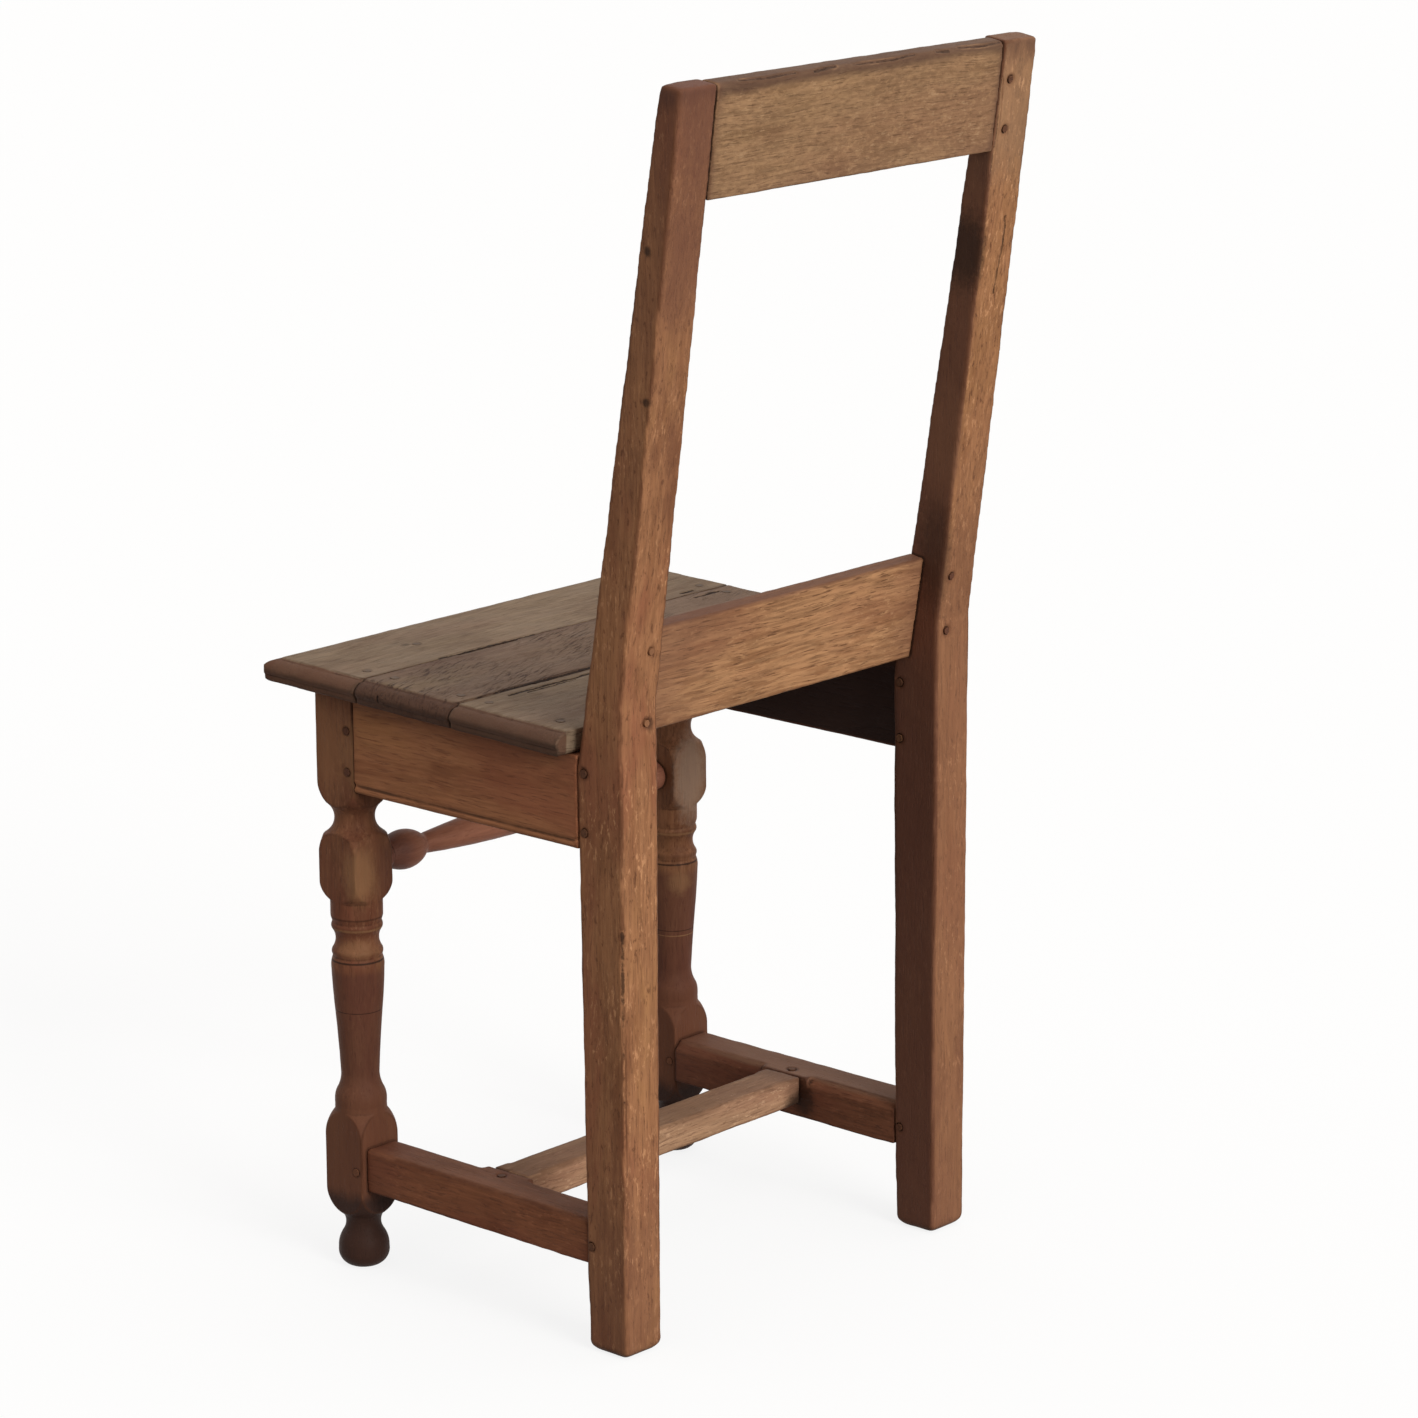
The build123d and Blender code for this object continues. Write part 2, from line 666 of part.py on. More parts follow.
# ---------------------------------------------------------------- stretchers
with BuildPart() as side_stretcher_left:
    block(
        (side_stretcher_inner, side_stretcher_outer),
        (leg_back_y, back_y),
        (side_stretcher_bottom, side_stretcher_top),
    )
    upper_arrises = side_stretcher_left.edges().filter_by(Axis.Y).sort_by(Axis.Z)[-2:]
    ease(upper_arrises.sort_by(Axis.X)[-1], stretcher_ease)
    # A stopped chamfer along the inner arris, either side of the cross stretcher
    cut = stretcher_chamfer * 2**0.5
    stop = cross_stretcher_width / 2 + stretcher_chamfer_stop
    with Locations((side_stretcher_inner, leg_back_y, side_stretcher_top)):
        Box(
            cut,
            cross_y - stop - leg_back_y,
            cut,
            rotation=(0, 45, 0),
            align=(Align.CENTER, Align.MIN, Align.CENTER),
            mode=Mode.SUBTRACT,
        )
    with Locations((side_stretcher_inner, cross_y + stop, side_stretcher_top)):
        Box(
            cut,
            back_y - cross_y,
            cut,
            rotation=(0, 45, 0),
            align=(Align.CENTER, Align.MIN, Align.CENTER),
            mode=Mode.SUBTRACT,
        )
    add(post_scribe.part, mode=Mode.SUBTRACT)
    block(*side_stretcher_tenon)
    block(*cross_tenon, mode=Mode.SUBTRACT, play=tenon_play)
    rods([stretcher_front_peg], peg_hole, -leg_block, 2 * leg_block, mode=Mode.SUBTRACT)
    rods([stretcher_back_peg], peg_hole, -leg_block, 2 * leg_block, mode=Mode.SUBTRACT)
    rods(cross_pegs_both, peg_hole, -1, cross_peg_depth, mode=Mode.SUBTRACT)

with BuildPart() as side_stretcher_right:
    mirror(side_stretcher_left.part, about=Plane.YZ)

with BuildPart() as cross_stretcher:
    block(
        (-side_stretcher_inner, side_stretcher_inner),
        span(cross_y, cross_stretcher_width),
        (cross_bottom, side_stretcher_top),
    )
    cut = cross_chamfer * 2**0.5
    for edge_y in span(cross_y, cross_stretcher_width):
        with Locations((0, edge_y, side_stretcher_top)):
            Box(
                2 * (side_stretcher_inner - cross_chamfer_stop),
                cut,
                cut,
                rotation=(45, 0, 0),
                mode=Mode.SUBTRACT,
            )
    block(*cross_tenon)
    rods(cross_pegs_both, peg_hole, -1, cross_peg_depth, mode=Mode.SUBTRACT)

tenon_end = leg_inner + cross_tenon_length

with BuildPart() as front_stretcher:
    with BuildSketch(Plane((0, leg_y, front_stretcher_height), x_dir=(1, 0, 0), z_dir=(0, -1, 0))):
        with BuildLine():
            ThreePointArc(
                (0, stretcher_belly),
                (60, stretcher_belly - 1.8),
                (belly_end, stretcher_waist),
            )
            ThreePointArc(
                (belly_end, stretcher_waist),
                ((belly_end + bulb_start) / 2, stretcher_waist - 0.3),
                (bulb_start, stretcher_waist + 1),
            )
            ThreePointArc(
                (bulb_start, stretcher_waist + 1),
                (bulb_middle, stretcher_bulb),
                (bulb_end, stretcher_waist + 1.5),
            )
            Line((bulb_end, stretcher_waist + 1.5), (collar_start, stretcher_collar))
            Line((collar_start, stretcher_collar), (leg_inner, stretcher_collar))
            Line((leg_inner, stretcher_collar), (leg_inner, round_tenon_radius))
            Line((leg_inner, round_tenon_radius), (tenon_end, round_tenon_radius))
            Line((tenon_end, round_tenon_radius), (tenon_end, 0))
            Line((tenon_end, 0), (0, 0))
            Line((0, 0), (0, stretcher_belly))
        make_face()
    revolve(axis=Axis((0, leg_y, front_stretcher_height), (1, 0, 0)))
    mirror(about=Plane.YZ)

# ---------------------------------------------------------------- seat boards
# Section of the moulding, from the top arris outwards: a fillet, a roll and a square
roll_z = -moulding_fillet - moulding_roll
square_z = roll_z - moulding_underside
square_reach = moulding_reach - moulding_setback

with BuildSketch() as moulding:
    with BuildLine():
        Line((0, -seat_thickness), (0, -moulding_fillet))
        ThreePointArc(
            (0, -moulding_fillet),
            (0.7 * moulding_reach, -moulding_fillet - 0.3 * moulding_roll),
            (moulding_reach, roll_z),
        )
        ThreePointArc(
            (moulding_reach, roll_z),
            (moulding_reach - 0.25 * moulding_setback, roll_z - 0.6 * moulding_underside),
            (square_reach, square_z),
        )
        Polyline(
            (square_reach, square_z),
            (square_reach, seat_edge_ease - seat_thickness),
            (square_reach - seat_edge_ease, -seat_thickness),
            (0, -seat_thickness),
        )
    make_face()

# The two sections of the seat, each with +Y square to its top
across = Plane(seat_top.origin, x_dir=(1, 0, 0), z_dir=-seat_top.y_dir)
along = Plane(seat_top.origin, x_dir=-seat_top.y_dir, z_dir=(-1, 0, 0))

with BuildPart() as seat_blank:
    with BuildSketch(across.offset(moulding_reach)):
        with Locations((seat_arris, 0)):
            add(moulding.sketch)
        mirror(about=Plane.YZ)
        Rectangle(2 * seat_arris, seat_thickness, align=(Align.CENTER, Align.MAX))
    extrude(amount=-(moulding_reach + seat_depth))
    with BuildSketch(along):
        add(moulding.sketch)
        Rectangle(seat_depth, seat_thickness, align=(Align.MAX, Align.MAX))
        back_corner = (-seat_depth, -seat_thickness)
        with Locations(back_corner):
            Rectangle(
                seat_back_chamfer * 2**0.5,
                seat_back_chamfer * 2**0.5,
                rotation=45,
                mode=Mode.SUBTRACT,
            )
    extrude(amount=reach, both=True, mode=Mode.INTERSECT)
    # The two front corners are rounded off in plan
    with BuildSketch(seat_top.offset(-1.5 * seat_thickness)):
        with Locations((0, -moulding_reach - seat_corner_margin)):
            RectangleRounded(
                seat_width + 2 * seat_corner_margin,
                2 * (moulding_reach + seat_depth),
                seat_corner_round,
                align=(Align.CENTER, Align.MIN),
            )
    extrude(amount=2 * seat_thickness, mode=Mode.INTERSECT)
    nails(mode=Mode.SUBTRACT, play=peg_play)

with BuildPart() as seat_board_front:
    add(seat_blank.part)
    split(bisect_by=seat_joint_front.offset(-board_gap / 2), keep=Keep.BOTTOM)

with BuildPart() as seat_board_middle:
    add(seat_blank.part)
    split(bisect_by=seat_joint_front.offset(board_gap / 2), keep=Keep.TOP)
    split(bisect_by=seat_joint_back.offset(-board_gap / 2), keep=Keep.BOTTOM)

with BuildPart() as seat_board_rear:
    add(seat_blank.part)
    split(bisect_by=seat_joint_back.offset(board_gap / 2), keep=Keep.TOP)

# ---------------------------------------------------------------- pegs and nails
with BuildPart() as crest_rail_pegs:
    rods(crest_pegs, back_peg_radius, -post_depth_knee, post_depth_knee)
    mirror(post_with_pegs.part, about=Plane.YZ, mode=Mode.INTERSECT)

with BuildPart() as lower_back_rail_pegs_left:
    rods(lower_rail_pegs_left, back_peg_radius, -leg_block, 2 * leg_block)
    add(post_with_pegs.part, mode=Mode.INTERSECT)

with BuildPart() as lower_back_rail_pegs:
    rods(lower_rail_pegs_right, back_peg_radius, -leg_block, 2 * leg_block)
    mirror(post_with_pegs.part, about=Plane.YZ, mode=Mode.INTERSECT)
    add(lower_back_rail_pegs_left.part)

with BuildPart() as side_rail_rear_pegs:
    rods(rail_back_pegs, peg_radius, -leg_block, 2 * leg_block)
    add(post_with_pegs.part, mode=Mode.INTERSECT)
    mirror(about=Plane.YZ)

with BuildPart() as side_rail_front_pegs:
    rods(rail_front_pegs, peg_radius, -peg_proud, leg_block + peg_proud)
    mirror(about=Plane.YZ)

with BuildPart() as front_rail_pegs:
    rods(front_rail_pegs_left, peg_radius, -peg_proud, leg_block + peg_proud)
    mirror(about=Plane.YZ)

with BuildPart() as side_stretcher_pegs:
    rods([stretcher_back_peg], peg_radius, -leg_block, 2 * leg_block)
    add(post_with_pegs.part, mode=Mode.INTERSECT)
    rods([stretcher_front_peg], peg_radius, -peg_proud, leg_block + peg_proud)
    mirror(about=Plane.YZ)

with BuildPart() as cross_stretcher_pegs:
    rods(cross_pegs_both, peg_radius, -peg_proud, cross_peg_depth - 1)

with BuildPart() as seat_nails:
    nails()

# ---------------------------------------------------------------- export
rear_post_left.part.label = "rear_post_left"
rear_post_right.part.label = "rear_post_right"
front_leg_left.part.label = "front_leg_left"
front_leg_right.part.label = "front_leg_right"
crest_rail.part.label = "crest_rail"
lower_back_rail.part.label = "lower_back_rail"
side_rail_left.part.label = "side_rail_left"
side_rail_right.part.label = "side_rail_right"
front_rail.part.label = "front_rail"
front_stretcher.part.label = "front_stretcher"
side_stretcher_left.part.label = "side_stretcher_left"
side_stretcher_right.part.label = "side_stretcher_right"
cross_stretcher.part.label = "cross_stretcher"
seat_board_front.part.label = "seat_board_front"
seat_board_middle.part.label = "seat_board_middle"
seat_board_rear.part.label = "seat_board_rear"
crest_rail_pegs.part.label = "crest_rail_pegs"
lower_back_rail_pegs.part.label = "lower_back_rail_pegs"
side_rail_front_pegs.part.label = "side_rail_front_pegs"
side_rail_rear_pegs.part.label = "side_rail_rear_pegs"
front_rail_pegs.part.label = "front_rail_pegs"
side_stretcher_pegs.part.label = "side_stretcher_pegs"
cross_stretcher_pegs.part.label = "cross_stretcher_pegs"
seat_nails.part.label = "seat_nails"

os.makedirs("parts", exist_ok=True)
export_step(rear_post_left.part, "parts/rear_post_left.step")
export_step(rear_post_right.part, "parts/rear_post_right.step")
export_step(front_leg_left.part, "parts/front_leg_left.step")
export_step(front_leg_right.part, "parts/front_leg_right.step")
export_step(crest_rail.part, "parts/crest_rail.step")
export_step(lower_back_rail.part, "parts/lower_back_rail.step")
export_step(side_rail_left.part, "parts/side_rail_left.step")
export_step(side_rail_right.part, "parts/side_rail_right.step")
export_step(front_rail.part, "parts/front_rail.step")
export_step(front_stretcher.part, "parts/front_stretcher.step")
export_step(side_stretcher_left.part, "parts/side_stretcher_left.step")
export_step(side_stretcher_right.part, "parts/side_stretcher_right.step")
export_step(cross_stretcher.part, "parts/cross_stretcher.step")
export_step(seat_board_front.part, "parts/seat_board_front.step")
export_step(seat_board_middle.part, "parts/seat_board_middle.step")
export_step(seat_board_rear.part, "parts/seat_board_rear.step")
export_step(crest_rail_pegs.part, "parts/crest_rail_pegs.step")
export_step(lower_back_rail_pegs.part, "parts/lower_back_rail_pegs.step")
export_step(side_rail_front_pegs.part, "parts/side_rail_front_pegs.step")
export_step(side_rail_rear_pegs.part, "parts/side_rail_rear_pegs.step")
export_step(front_rail_pegs.part, "parts/front_rail_pegs.step")
export_step(side_stretcher_pegs.part, "parts/side_stretcher_pegs.step")
export_step(cross_stretcher_pegs.part, "parts/cross_stretcher_pegs.step")
export_step(seat_nails.part, "parts/seat_nails.step")
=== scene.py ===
import bpy
import math
import numpy
from mathutils import Matrix, Vector, noise
from mathutils.bvhtree import BVHTree


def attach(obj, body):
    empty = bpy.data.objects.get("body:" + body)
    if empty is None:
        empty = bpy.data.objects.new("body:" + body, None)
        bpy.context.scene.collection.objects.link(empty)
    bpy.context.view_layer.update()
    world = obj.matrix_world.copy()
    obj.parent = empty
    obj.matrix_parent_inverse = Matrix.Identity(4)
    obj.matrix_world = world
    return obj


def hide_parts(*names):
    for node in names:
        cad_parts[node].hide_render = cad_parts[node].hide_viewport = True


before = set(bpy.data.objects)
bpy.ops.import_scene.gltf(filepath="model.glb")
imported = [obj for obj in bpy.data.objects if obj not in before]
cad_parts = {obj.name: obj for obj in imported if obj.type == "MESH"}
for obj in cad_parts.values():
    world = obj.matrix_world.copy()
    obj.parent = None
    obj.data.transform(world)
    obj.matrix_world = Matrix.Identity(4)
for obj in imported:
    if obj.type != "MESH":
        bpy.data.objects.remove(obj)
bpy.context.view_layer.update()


# ------------------------------------------------------------------ rear posts
# Two kneed posts, each sawn out of one oak plank and planed, then rubbed by hands
# and floors for centuries: arrises worn round unevenly, faces no longer quite flat.
POST_OUTER = 0.19
POST_TOP = 0.912
POST_TONE = (0.335, 0.155, 0.074)
POST_SHADE = (0.15, 0.062, 0.04)
LOW_SHADE = (0.2, 0.09, 0.05)
INNER_WAX_AND_SHADE = (0.105, 0.042, 0.03)
BLEACHED = (0.42, 0.27, 0.16)
CAP_SHADE = (0.095, 0.042, 0.03)
STAIN = (0.018, 0.009, 0.006)
TO_MM = 1000


def deselect():
    """Nothing selected and nothing open for editing."""
    if bpy.context.object and bpy.context.object.mode != "OBJECT":
        bpy.ops.object.mode_set(mode="OBJECT")
    bpy.ops.object.select_all(action="DESELECT")


def places(timber, what="co"):
    """Where the timber's points lie, or which way they face, as rows of x, y and z."""
    flat = numpy.empty(3 * len(timber.data.vertices))
    timber.data.vertices.foreach_get(what, flat)
    return flat.reshape(-1, 3)


def graded(timber, name, amounts, levels=8):
    """A vertex group that holds an amount from 0 to 1 for each point, in a few levels."""
    group = timber.vertex_groups.new(name=name)
    nearest = numpy.clip(numpy.rint(levels * amounts), 0, levels).astype(int)
    for level in range(1, levels + 1):
        points = numpy.flatnonzero(nearest == level).tolist()
        if points:
            group.add(points, level / levels, "REPLACE")


def smooth_by(timber, name, amounts, iterations):
    """Rub the timber smooth as far as the amounts say."""
    graded(timber, name, amounts)
    rub = timber.modifiers.new(name, "SMOOTH")
    rub.factor = 0.5
    rub.iterations = iterations
    rub.vertex_group = name
    bpy.ops.object.modifier_apply(modifier=rub.name)


def along_lines(points, lines):
    """How near each point lies to any of some lines: (half width, ends and corners)."""
    nearest = numpy.zeros(len(points))
    for half, corners in lines:
        corners = numpy.array(corners)
        for start, end in zip(corners[:-1], corners[1:]):
            run = end - start
            share = numpy.clip((points - start) @ run / (run @ run), 0, 1)
            away = numpy.linalg.norm(points - start - share[:, None] * run, axis=1)
            nearest = numpy.maximum(nearest, numpy.clip(1.25 - away / half, 0, 1))
    return nearest


def arris_heights(timber, rounds=6):
    """For each point, how many millimetres it stands proud of its rubbed surroundings."""
    points = places(timber)
    count = len(points)
    ends = numpy.empty(2 * len(timber.data.edges), dtype=numpy.int64)
    timber.data.edges.foreach_get("vertices", ends)
    first, second = ends.reshape(-1, 2).T
    links = numpy.bincount(first, minlength=count) + numpy.bincount(second, minlength=count)
    soft = points.copy()
    for _ in range(rounds):
        pulled = numpy.empty_like(soft)
        for axis in range(3):
            pulled[:, axis] = numpy.bincount(first, soft[second, axis], count)
            pulled[:, axis] += numpy.bincount(second, soft[first, axis], count)
        soft = 0.5 * soft + 0.5 * pulled / links[:, None]
    return ((points - soft) * places(timber, "normal")).sum(axis=1) * TO_MM


def joint_distances(timber, node, flush, reach=0.008):
    """For each point, how many millimetres away the nearest other piece is.

    Pieces named in flush are set so tight that no joint shows round them.
    """
    points = places(timber)
    near = numpy.full(len(points), reach * TO_MM)
    for known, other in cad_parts.items():
        if known in (node, *flush):
            continue
        corners = numpy.array([other.matrix_world @ Vector(corner) for corner in other.bound_box])
        close = (points > corners.min(axis=0) - reach) & (points < corners.max(axis=0) + reach)
        close = numpy.flatnonzero(close.all(axis=1))
        if not len(close):
            continue
        skin = [other.matrix_world @ point.co for point in other.data.vertices]
        solid = BVHTree.FromPolygons(skin, [tuple(face.vertices) for face in other.data.polygons])
        for index in close.tolist():
            away = solid.find_nearest(Vector(points[index]), reach)[3]
            if away is not None and away * TO_MM < near[index]:
                near[index] = away * TO_MM
    return near


def copied(node, name):
    """A copy of one timber, its skin closed and its place in its mesh."""
    deselect()
    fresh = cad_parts[node]
    fresh.select_set(True)
    bpy.context.view_layer.objects.active = fresh
    bpy.ops.object.duplicate()
    timber = bpy.context.object
    for key in list(timber.keys()):
        del timber[key]
    timber.parent = None
    timber.matrix_world = Matrix.Identity(4)
    timber.name = name
    bpy.ops.object.mode_set(mode="EDIT")
    bpy.ops.mesh.select_all(action="SELECT")
    bpy.ops.mesh.remove_doubles(threshold=0.000002)
    bpy.ops.object.mode_set(mode="OBJECT")
    bpy.ops.mesh.customdata_custom_splitnormals_clear()
    return timber


def refined(timber, cell):
    """The same skin in faces small enough to be worn."""
    remesh = timber.modifiers.new("fine faces", "REMESH")
    remesh.mode = "VOXEL"
    remesh.voxel_size = cell
    bpy.ops.object.modifier_apply(modifier=remesh.name)


def rubbed_in_patches(timber, seed, wear):
    """Arrises rubbed away, more in some places than in others."""
    shift = Vector((seed, 2 * seed, -seed))
    amounts = []
    for point in timber.data.vertices:
        amount = 0.45 + 0.9 * noise.noise((point.co + shift) * 24)
        amounts.append(amount + 0.5 * noise.noise((point.co - shift) * 95))
    smooth_by(timber, "rubbed arrises", numpy.array(amounts), wear)


def split_open(timber, splits, depth):
    """Ragged cracks and chips sunk along lines."""
    ragged = [0.75 + 0.9 * noise.noise(point.co * 160) for point in timber.data.vertices]
    graded(timber, "splits", along_lines(places(timber), splits) * numpy.array(ragged))
    sink = timber.modifiers.new("splits", "DISPLACE")
    sink.vertex_group = "splits"
    sink.mid_level = 0.0
    sink.strength = -depth
    bpy.ops.object.modifier_apply(modifier=sink.name)


def dented(timber, dents):
    """Faces left slightly uneven, sunk more than raised so that they stay in their box."""
    lumps = bpy.data.textures.new(timber.name + " lumps", "CLOUDS")
    lumps.noise_scale = 0.018
    lumps.noise_depth = 3
    uneven = timber.modifiers.new("uneven faces", "DISPLACE")
    uneven.texture = lumps
    uneven.texture_coords = "LOCAL"
    uneven.mid_level = 0.85
    uneven.strength = dents
    bpy.ops.object.modifier_apply(modifier=uneven.name)


def worn_timber(
    node,
    name,
    cell=0.0014,
    wear=12,
    dents=0.0005,
    seed=0.0,
    ends=None,
    end_wear=25,
    splits=(),
    depth=0.0012,
    flush=(),
):
    """A worn copy of one timber, which takes its place.

    ends gives, for a point, how far the wear of its ends has gone there. splits are open
    cracks and chips along lines, sunk to a depth. The arris, joint and split amounts that
    the oak reads are left on the copy.
    """
    timber = copied(node, name)
    refined(timber, cell)
    rubbed_in_patches(timber, seed, wear)
    if ends:
        amounts = numpy.array([ends(point.co) for point in timber.data.vertices])
        smooth_by(timber, "worn ends", amounts, end_wear)
    if splits:
        split_open(timber, splits, depth)
    dented(timber, dents)
    bpy.ops.object.shade_smooth()
    notes = {
        "arris": arris_heights(timber),
        "joint": joint_distances(timber, node, flush),
        "split": along_lines(places(timber), splits),
    }
    for note, amounts in notes.items():
        timber.data.attributes.new(note, "FLOAT", "POINT")
        timber.data.attributes[note].data.foreach_set("value", amounts.astype(numpy.float32))
    timber.data.materials.clear()
    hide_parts(node)
    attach(timber, "root")
    return timber


def emptied(owner):
    """The node tree of a material or a world, with nothing in it yet."""
    owner.use_nodes = True
    owner.node_tree.nodes.clear()
    return owner.node_tree


def step(tree, kind, settings=None, **sockets):
    """One node. Sockets take a number, a colour or another node's output."""
    made = tree.nodes.new("ShaderNode" + kind)
    for key, value in (settings or {}).items():
        setattr(made, key, value)
    for key, value in sockets.items():
        numbered = key[0] == "i" and key[1:].isdigit()
        socket = made.inputs[int(key[1:])] if numbered else made.inputs[key]
        if isinstance(value, bpy.types.NodeSocket):
            tree.links.new(value, socket)
        else:
            socket.default_value = value
    return made


def reckoned(tree, how, a, b=0.0, c=0.0):
    """One or more values worked into another."""
    return step(tree, "Math", {"operation": how}, i0=a, i1=b, i2=c).outputs[0]


def moved(tree, how, a, b):
    """A place added to, taken from, multiplied or divided by another."""
    return step(tree, "VectorMath", {"operation": how}, i0=a, i1=b).outputs[0]


def axis_of(tree, where, axis):
    """How far along x, y or z a place lies."""
    return step(tree, "SeparateXYZ", i0=where).outputs["xyz".index(axis)]


def mixed(tree, amount, a, b):
    """Colour a gone over into colour b by an amount."""
    return step(tree, "Mix", {"data_type": "RGBA"}, i0=amount, i6=a, i7=b).outputs[2]


def between(tree, value, low, high, start=0.0, end=1.0):
    """A value eased from start to end as it goes from low to high."""
    settings = {"interpolation_type": "SMOOTHSTEP"}
    return step(tree, "MapRange", settings, i0=value, i1=low, i2=high, i3=start, i4=end).outputs[0]


def glazed(tree, colour, pattern, low, high, strength, shade):
    """The colour with a shade laid over it, more and more as a pattern goes from low to high."""
    return mixed(tree, between(tree, pattern, low, high, 0.0, strength), colour, shade)


def cloud(tree, where, size, detail=3.0, rough=0.55, shape="3D"):
    """Soft noise with this many lumps to the metre."""
    settings = {"noise_dimensions": shape}
    made = step(tree, "TexNoise", settings, Scale=size, Detail=detail, Roughness=rough)
    tree.links.new(where, made.inputs["W" if shape == "1D" else "Vector"])
    return made.outputs["Fac"]


def stretched(tree, where, across, along, deep=None):
    """The same place, squeezed across the grain and drawn out along it (the grain is Z)."""
    return moved(tree, "MULTIPLY", where, (across, across if deep is None else deep, along))


def noted(tree, name):
    """What a timber's points hold under this name."""
    settings = {"attribute_type": "GEOMETRY", "attribute_name": name}
    return step(tree, "Attribute", settings).outputs["Fac"]


def tinted(colour, red, green=None, blue=None):
    """The colour with each part multiplied, blue as green and green as red if not given."""
    green = red if green is None else green
    blue = green if blue is None else blue
    return (min(1, colour[0] * red), min(1, colour[1] * green), min(1, colour[2] * blue), 1.0)


def waxed_dark(tone):
    """What the tone becomes where wax and dirt have gathered."""
    return tinted(tone, 0.36, 0.3, 0.3)


GRAIN_TURNS = {"x": (0, math.radians(90), 0), "y": (math.radians(90), 0, 0), "z": (0, 0, 0)}


def oak_patterns(tree, along, seed, heart, ring, tilt):
    """The noises that oak is drawn with, and its relief, with the grain turned to Z.

    heart is where the pith lies beside the board, ring the growth rings to the metre and
    tilt how far they lean.
    """
    place = step(tree, "TexCoord").outputs["Object"]
    turn = GRAIN_TURNS[along]
    turned = step(tree, "Mapping", Vector=place, Location=seed, Rotation=turn).outputs[0]
    # Grain that wanders a little
    wander = stretched(tree, turned, 14, 5)
    wander = step(tree, "TexNoise", Vector=wander, Scale=1.0, Detail=3.0).outputs["Color"]
    wander = moved(tree, "SUBTRACT", wander, (0.5, 0.5, 0.5))
    wander = moved(tree, "MULTIPLY", wander, (0.018, 0.018, 0.018))
    grain = moved(tree, "ADD", turned, wander)
    # Growth rings round the heart
    parts = step(tree, "SeparateXYZ", i0=grain)
    off_x = reckoned(tree, "ADD", parts.outputs[0], heart[0])
    off_y = reckoned(tree, "MULTIPLY_ADD", parts.outputs[2], tilt, parts.outputs[1])
    off_y = reckoned(tree, "ADD", off_y, heart[1])
    radius = reckoned(tree, "MULTIPLY_ADD", off_x, off_x, reckoned(tree, "MULTIPLY", off_y, off_y))
    radius = reckoned(tree, "SQRT", radius)
    pores = cloud(tree, stretched(tree, grain, 850, 60), 1.0, 2.0, 0.5)
    wood = {
        "place": place,
        "turned": turned,
        "wander": wander,
        "grain": grain,
        "rings": between(tree, cloud(tree, radius, ring, 2.0, 0.6, "1D"), 0.3, 0.7),
        "fibres": cloud(tree, stretched(tree, grain, 420, 22), 1.0, 5.0, 0.62),
        "pores": between(tree, pores, 0.57, 0.69),
        "streaks": cloud(tree, stretched(tree, grain, 70, 6), 1.0, 5.0, 0.62),
        "clouds": cloud(tree, stretched(tree, turned, 30, 12), 1.0, 6.0, 0.66),
        "hues": cloud(tree, stretched(tree, turned, 12, 4), 1.0, 5.0, 0.62),
        "speckle": cloud(tree, turned, 210, 4.0, 0.7),
    }
    relief = reckoned(tree, "MULTIPLY", wood["pores"], -0.9)
    relief = reckoned(tree, "MULTIPLY_ADD", wood["fibres"], 0.6, relief)
    wood["relief"] = reckoned(tree, "MULTIPLY_ADD", wood["speckle"], 0.35, relief)
    return wood


def oak_colour(tree, wood, tone, figure, fibre, streak, blush, mottle):
    """The tone with fibres, rings, streaks, red clouds, patina and pores."""
    dull_fibre, bright_fibre = tinted(tone, 1 - 0.3 * fibre), tinted(tone, 1 + 0.3 * fibre)
    colour = mixed(tree, between(tree, wood["fibres"], 0.36, 0.64), dull_fibre, bright_fibre)
    late_wood = reckoned(tree, "MULTIPLY", wood["rings"], figure * 2)
    colour = mixed(tree, late_wood, colour, tinted(tone, 0.66, 0.58, 0.52))
    glazes = (
        ("streaks", 0.5, 0.7, streak, (0.52, 0.42, 0.38)),
        ("streaks", 0.47, 0.26, 0.7 * streak, (1.4, 1.42, 1.35)),
        ("hues", 0.48, 0.64, blush, (0.76, 0.56, 0.64)),
        ("hues", 0.46, 0.32, 0.6 * blush, (1.18, 1.28, 1.02)),
        ("clouds", 0.5, 0.72, mottle, (0.5, 0.42, 0.42)),
        ("clouds", 0.46, 0.3, 0.4 * mottle, (1.32, 1.32, 1.28)),
    )
    for pattern, low, high, strength, shift in glazes:
        colour = glazed(tree, colour, wood[pattern], low, high, strength, tinted(tone, *shift))
    return mixed(tree, reckoned(tree, "MULTIPLY", wood["pores"], 0.9 * fibre), colour, waxed_dark(tone))


def faded(tree, wood, colour, fades):
    """Changes of tone along an axis: (axis, from, to, strength, colour)."""
    for axis, start, end, strength, shade in fades:
        span = end - start
        way = axis_of(tree, wood["place"], axis)
        ragged = reckoned(tree, "MULTIPLY_ADD", wood["clouds"], 1.4 * span, way)
        low, high = start + 0.7 * span, end + 0.7 * span
        colour = glazed(tree, colour, ragged, low, high, strength, (*shade, 1))
    return colour


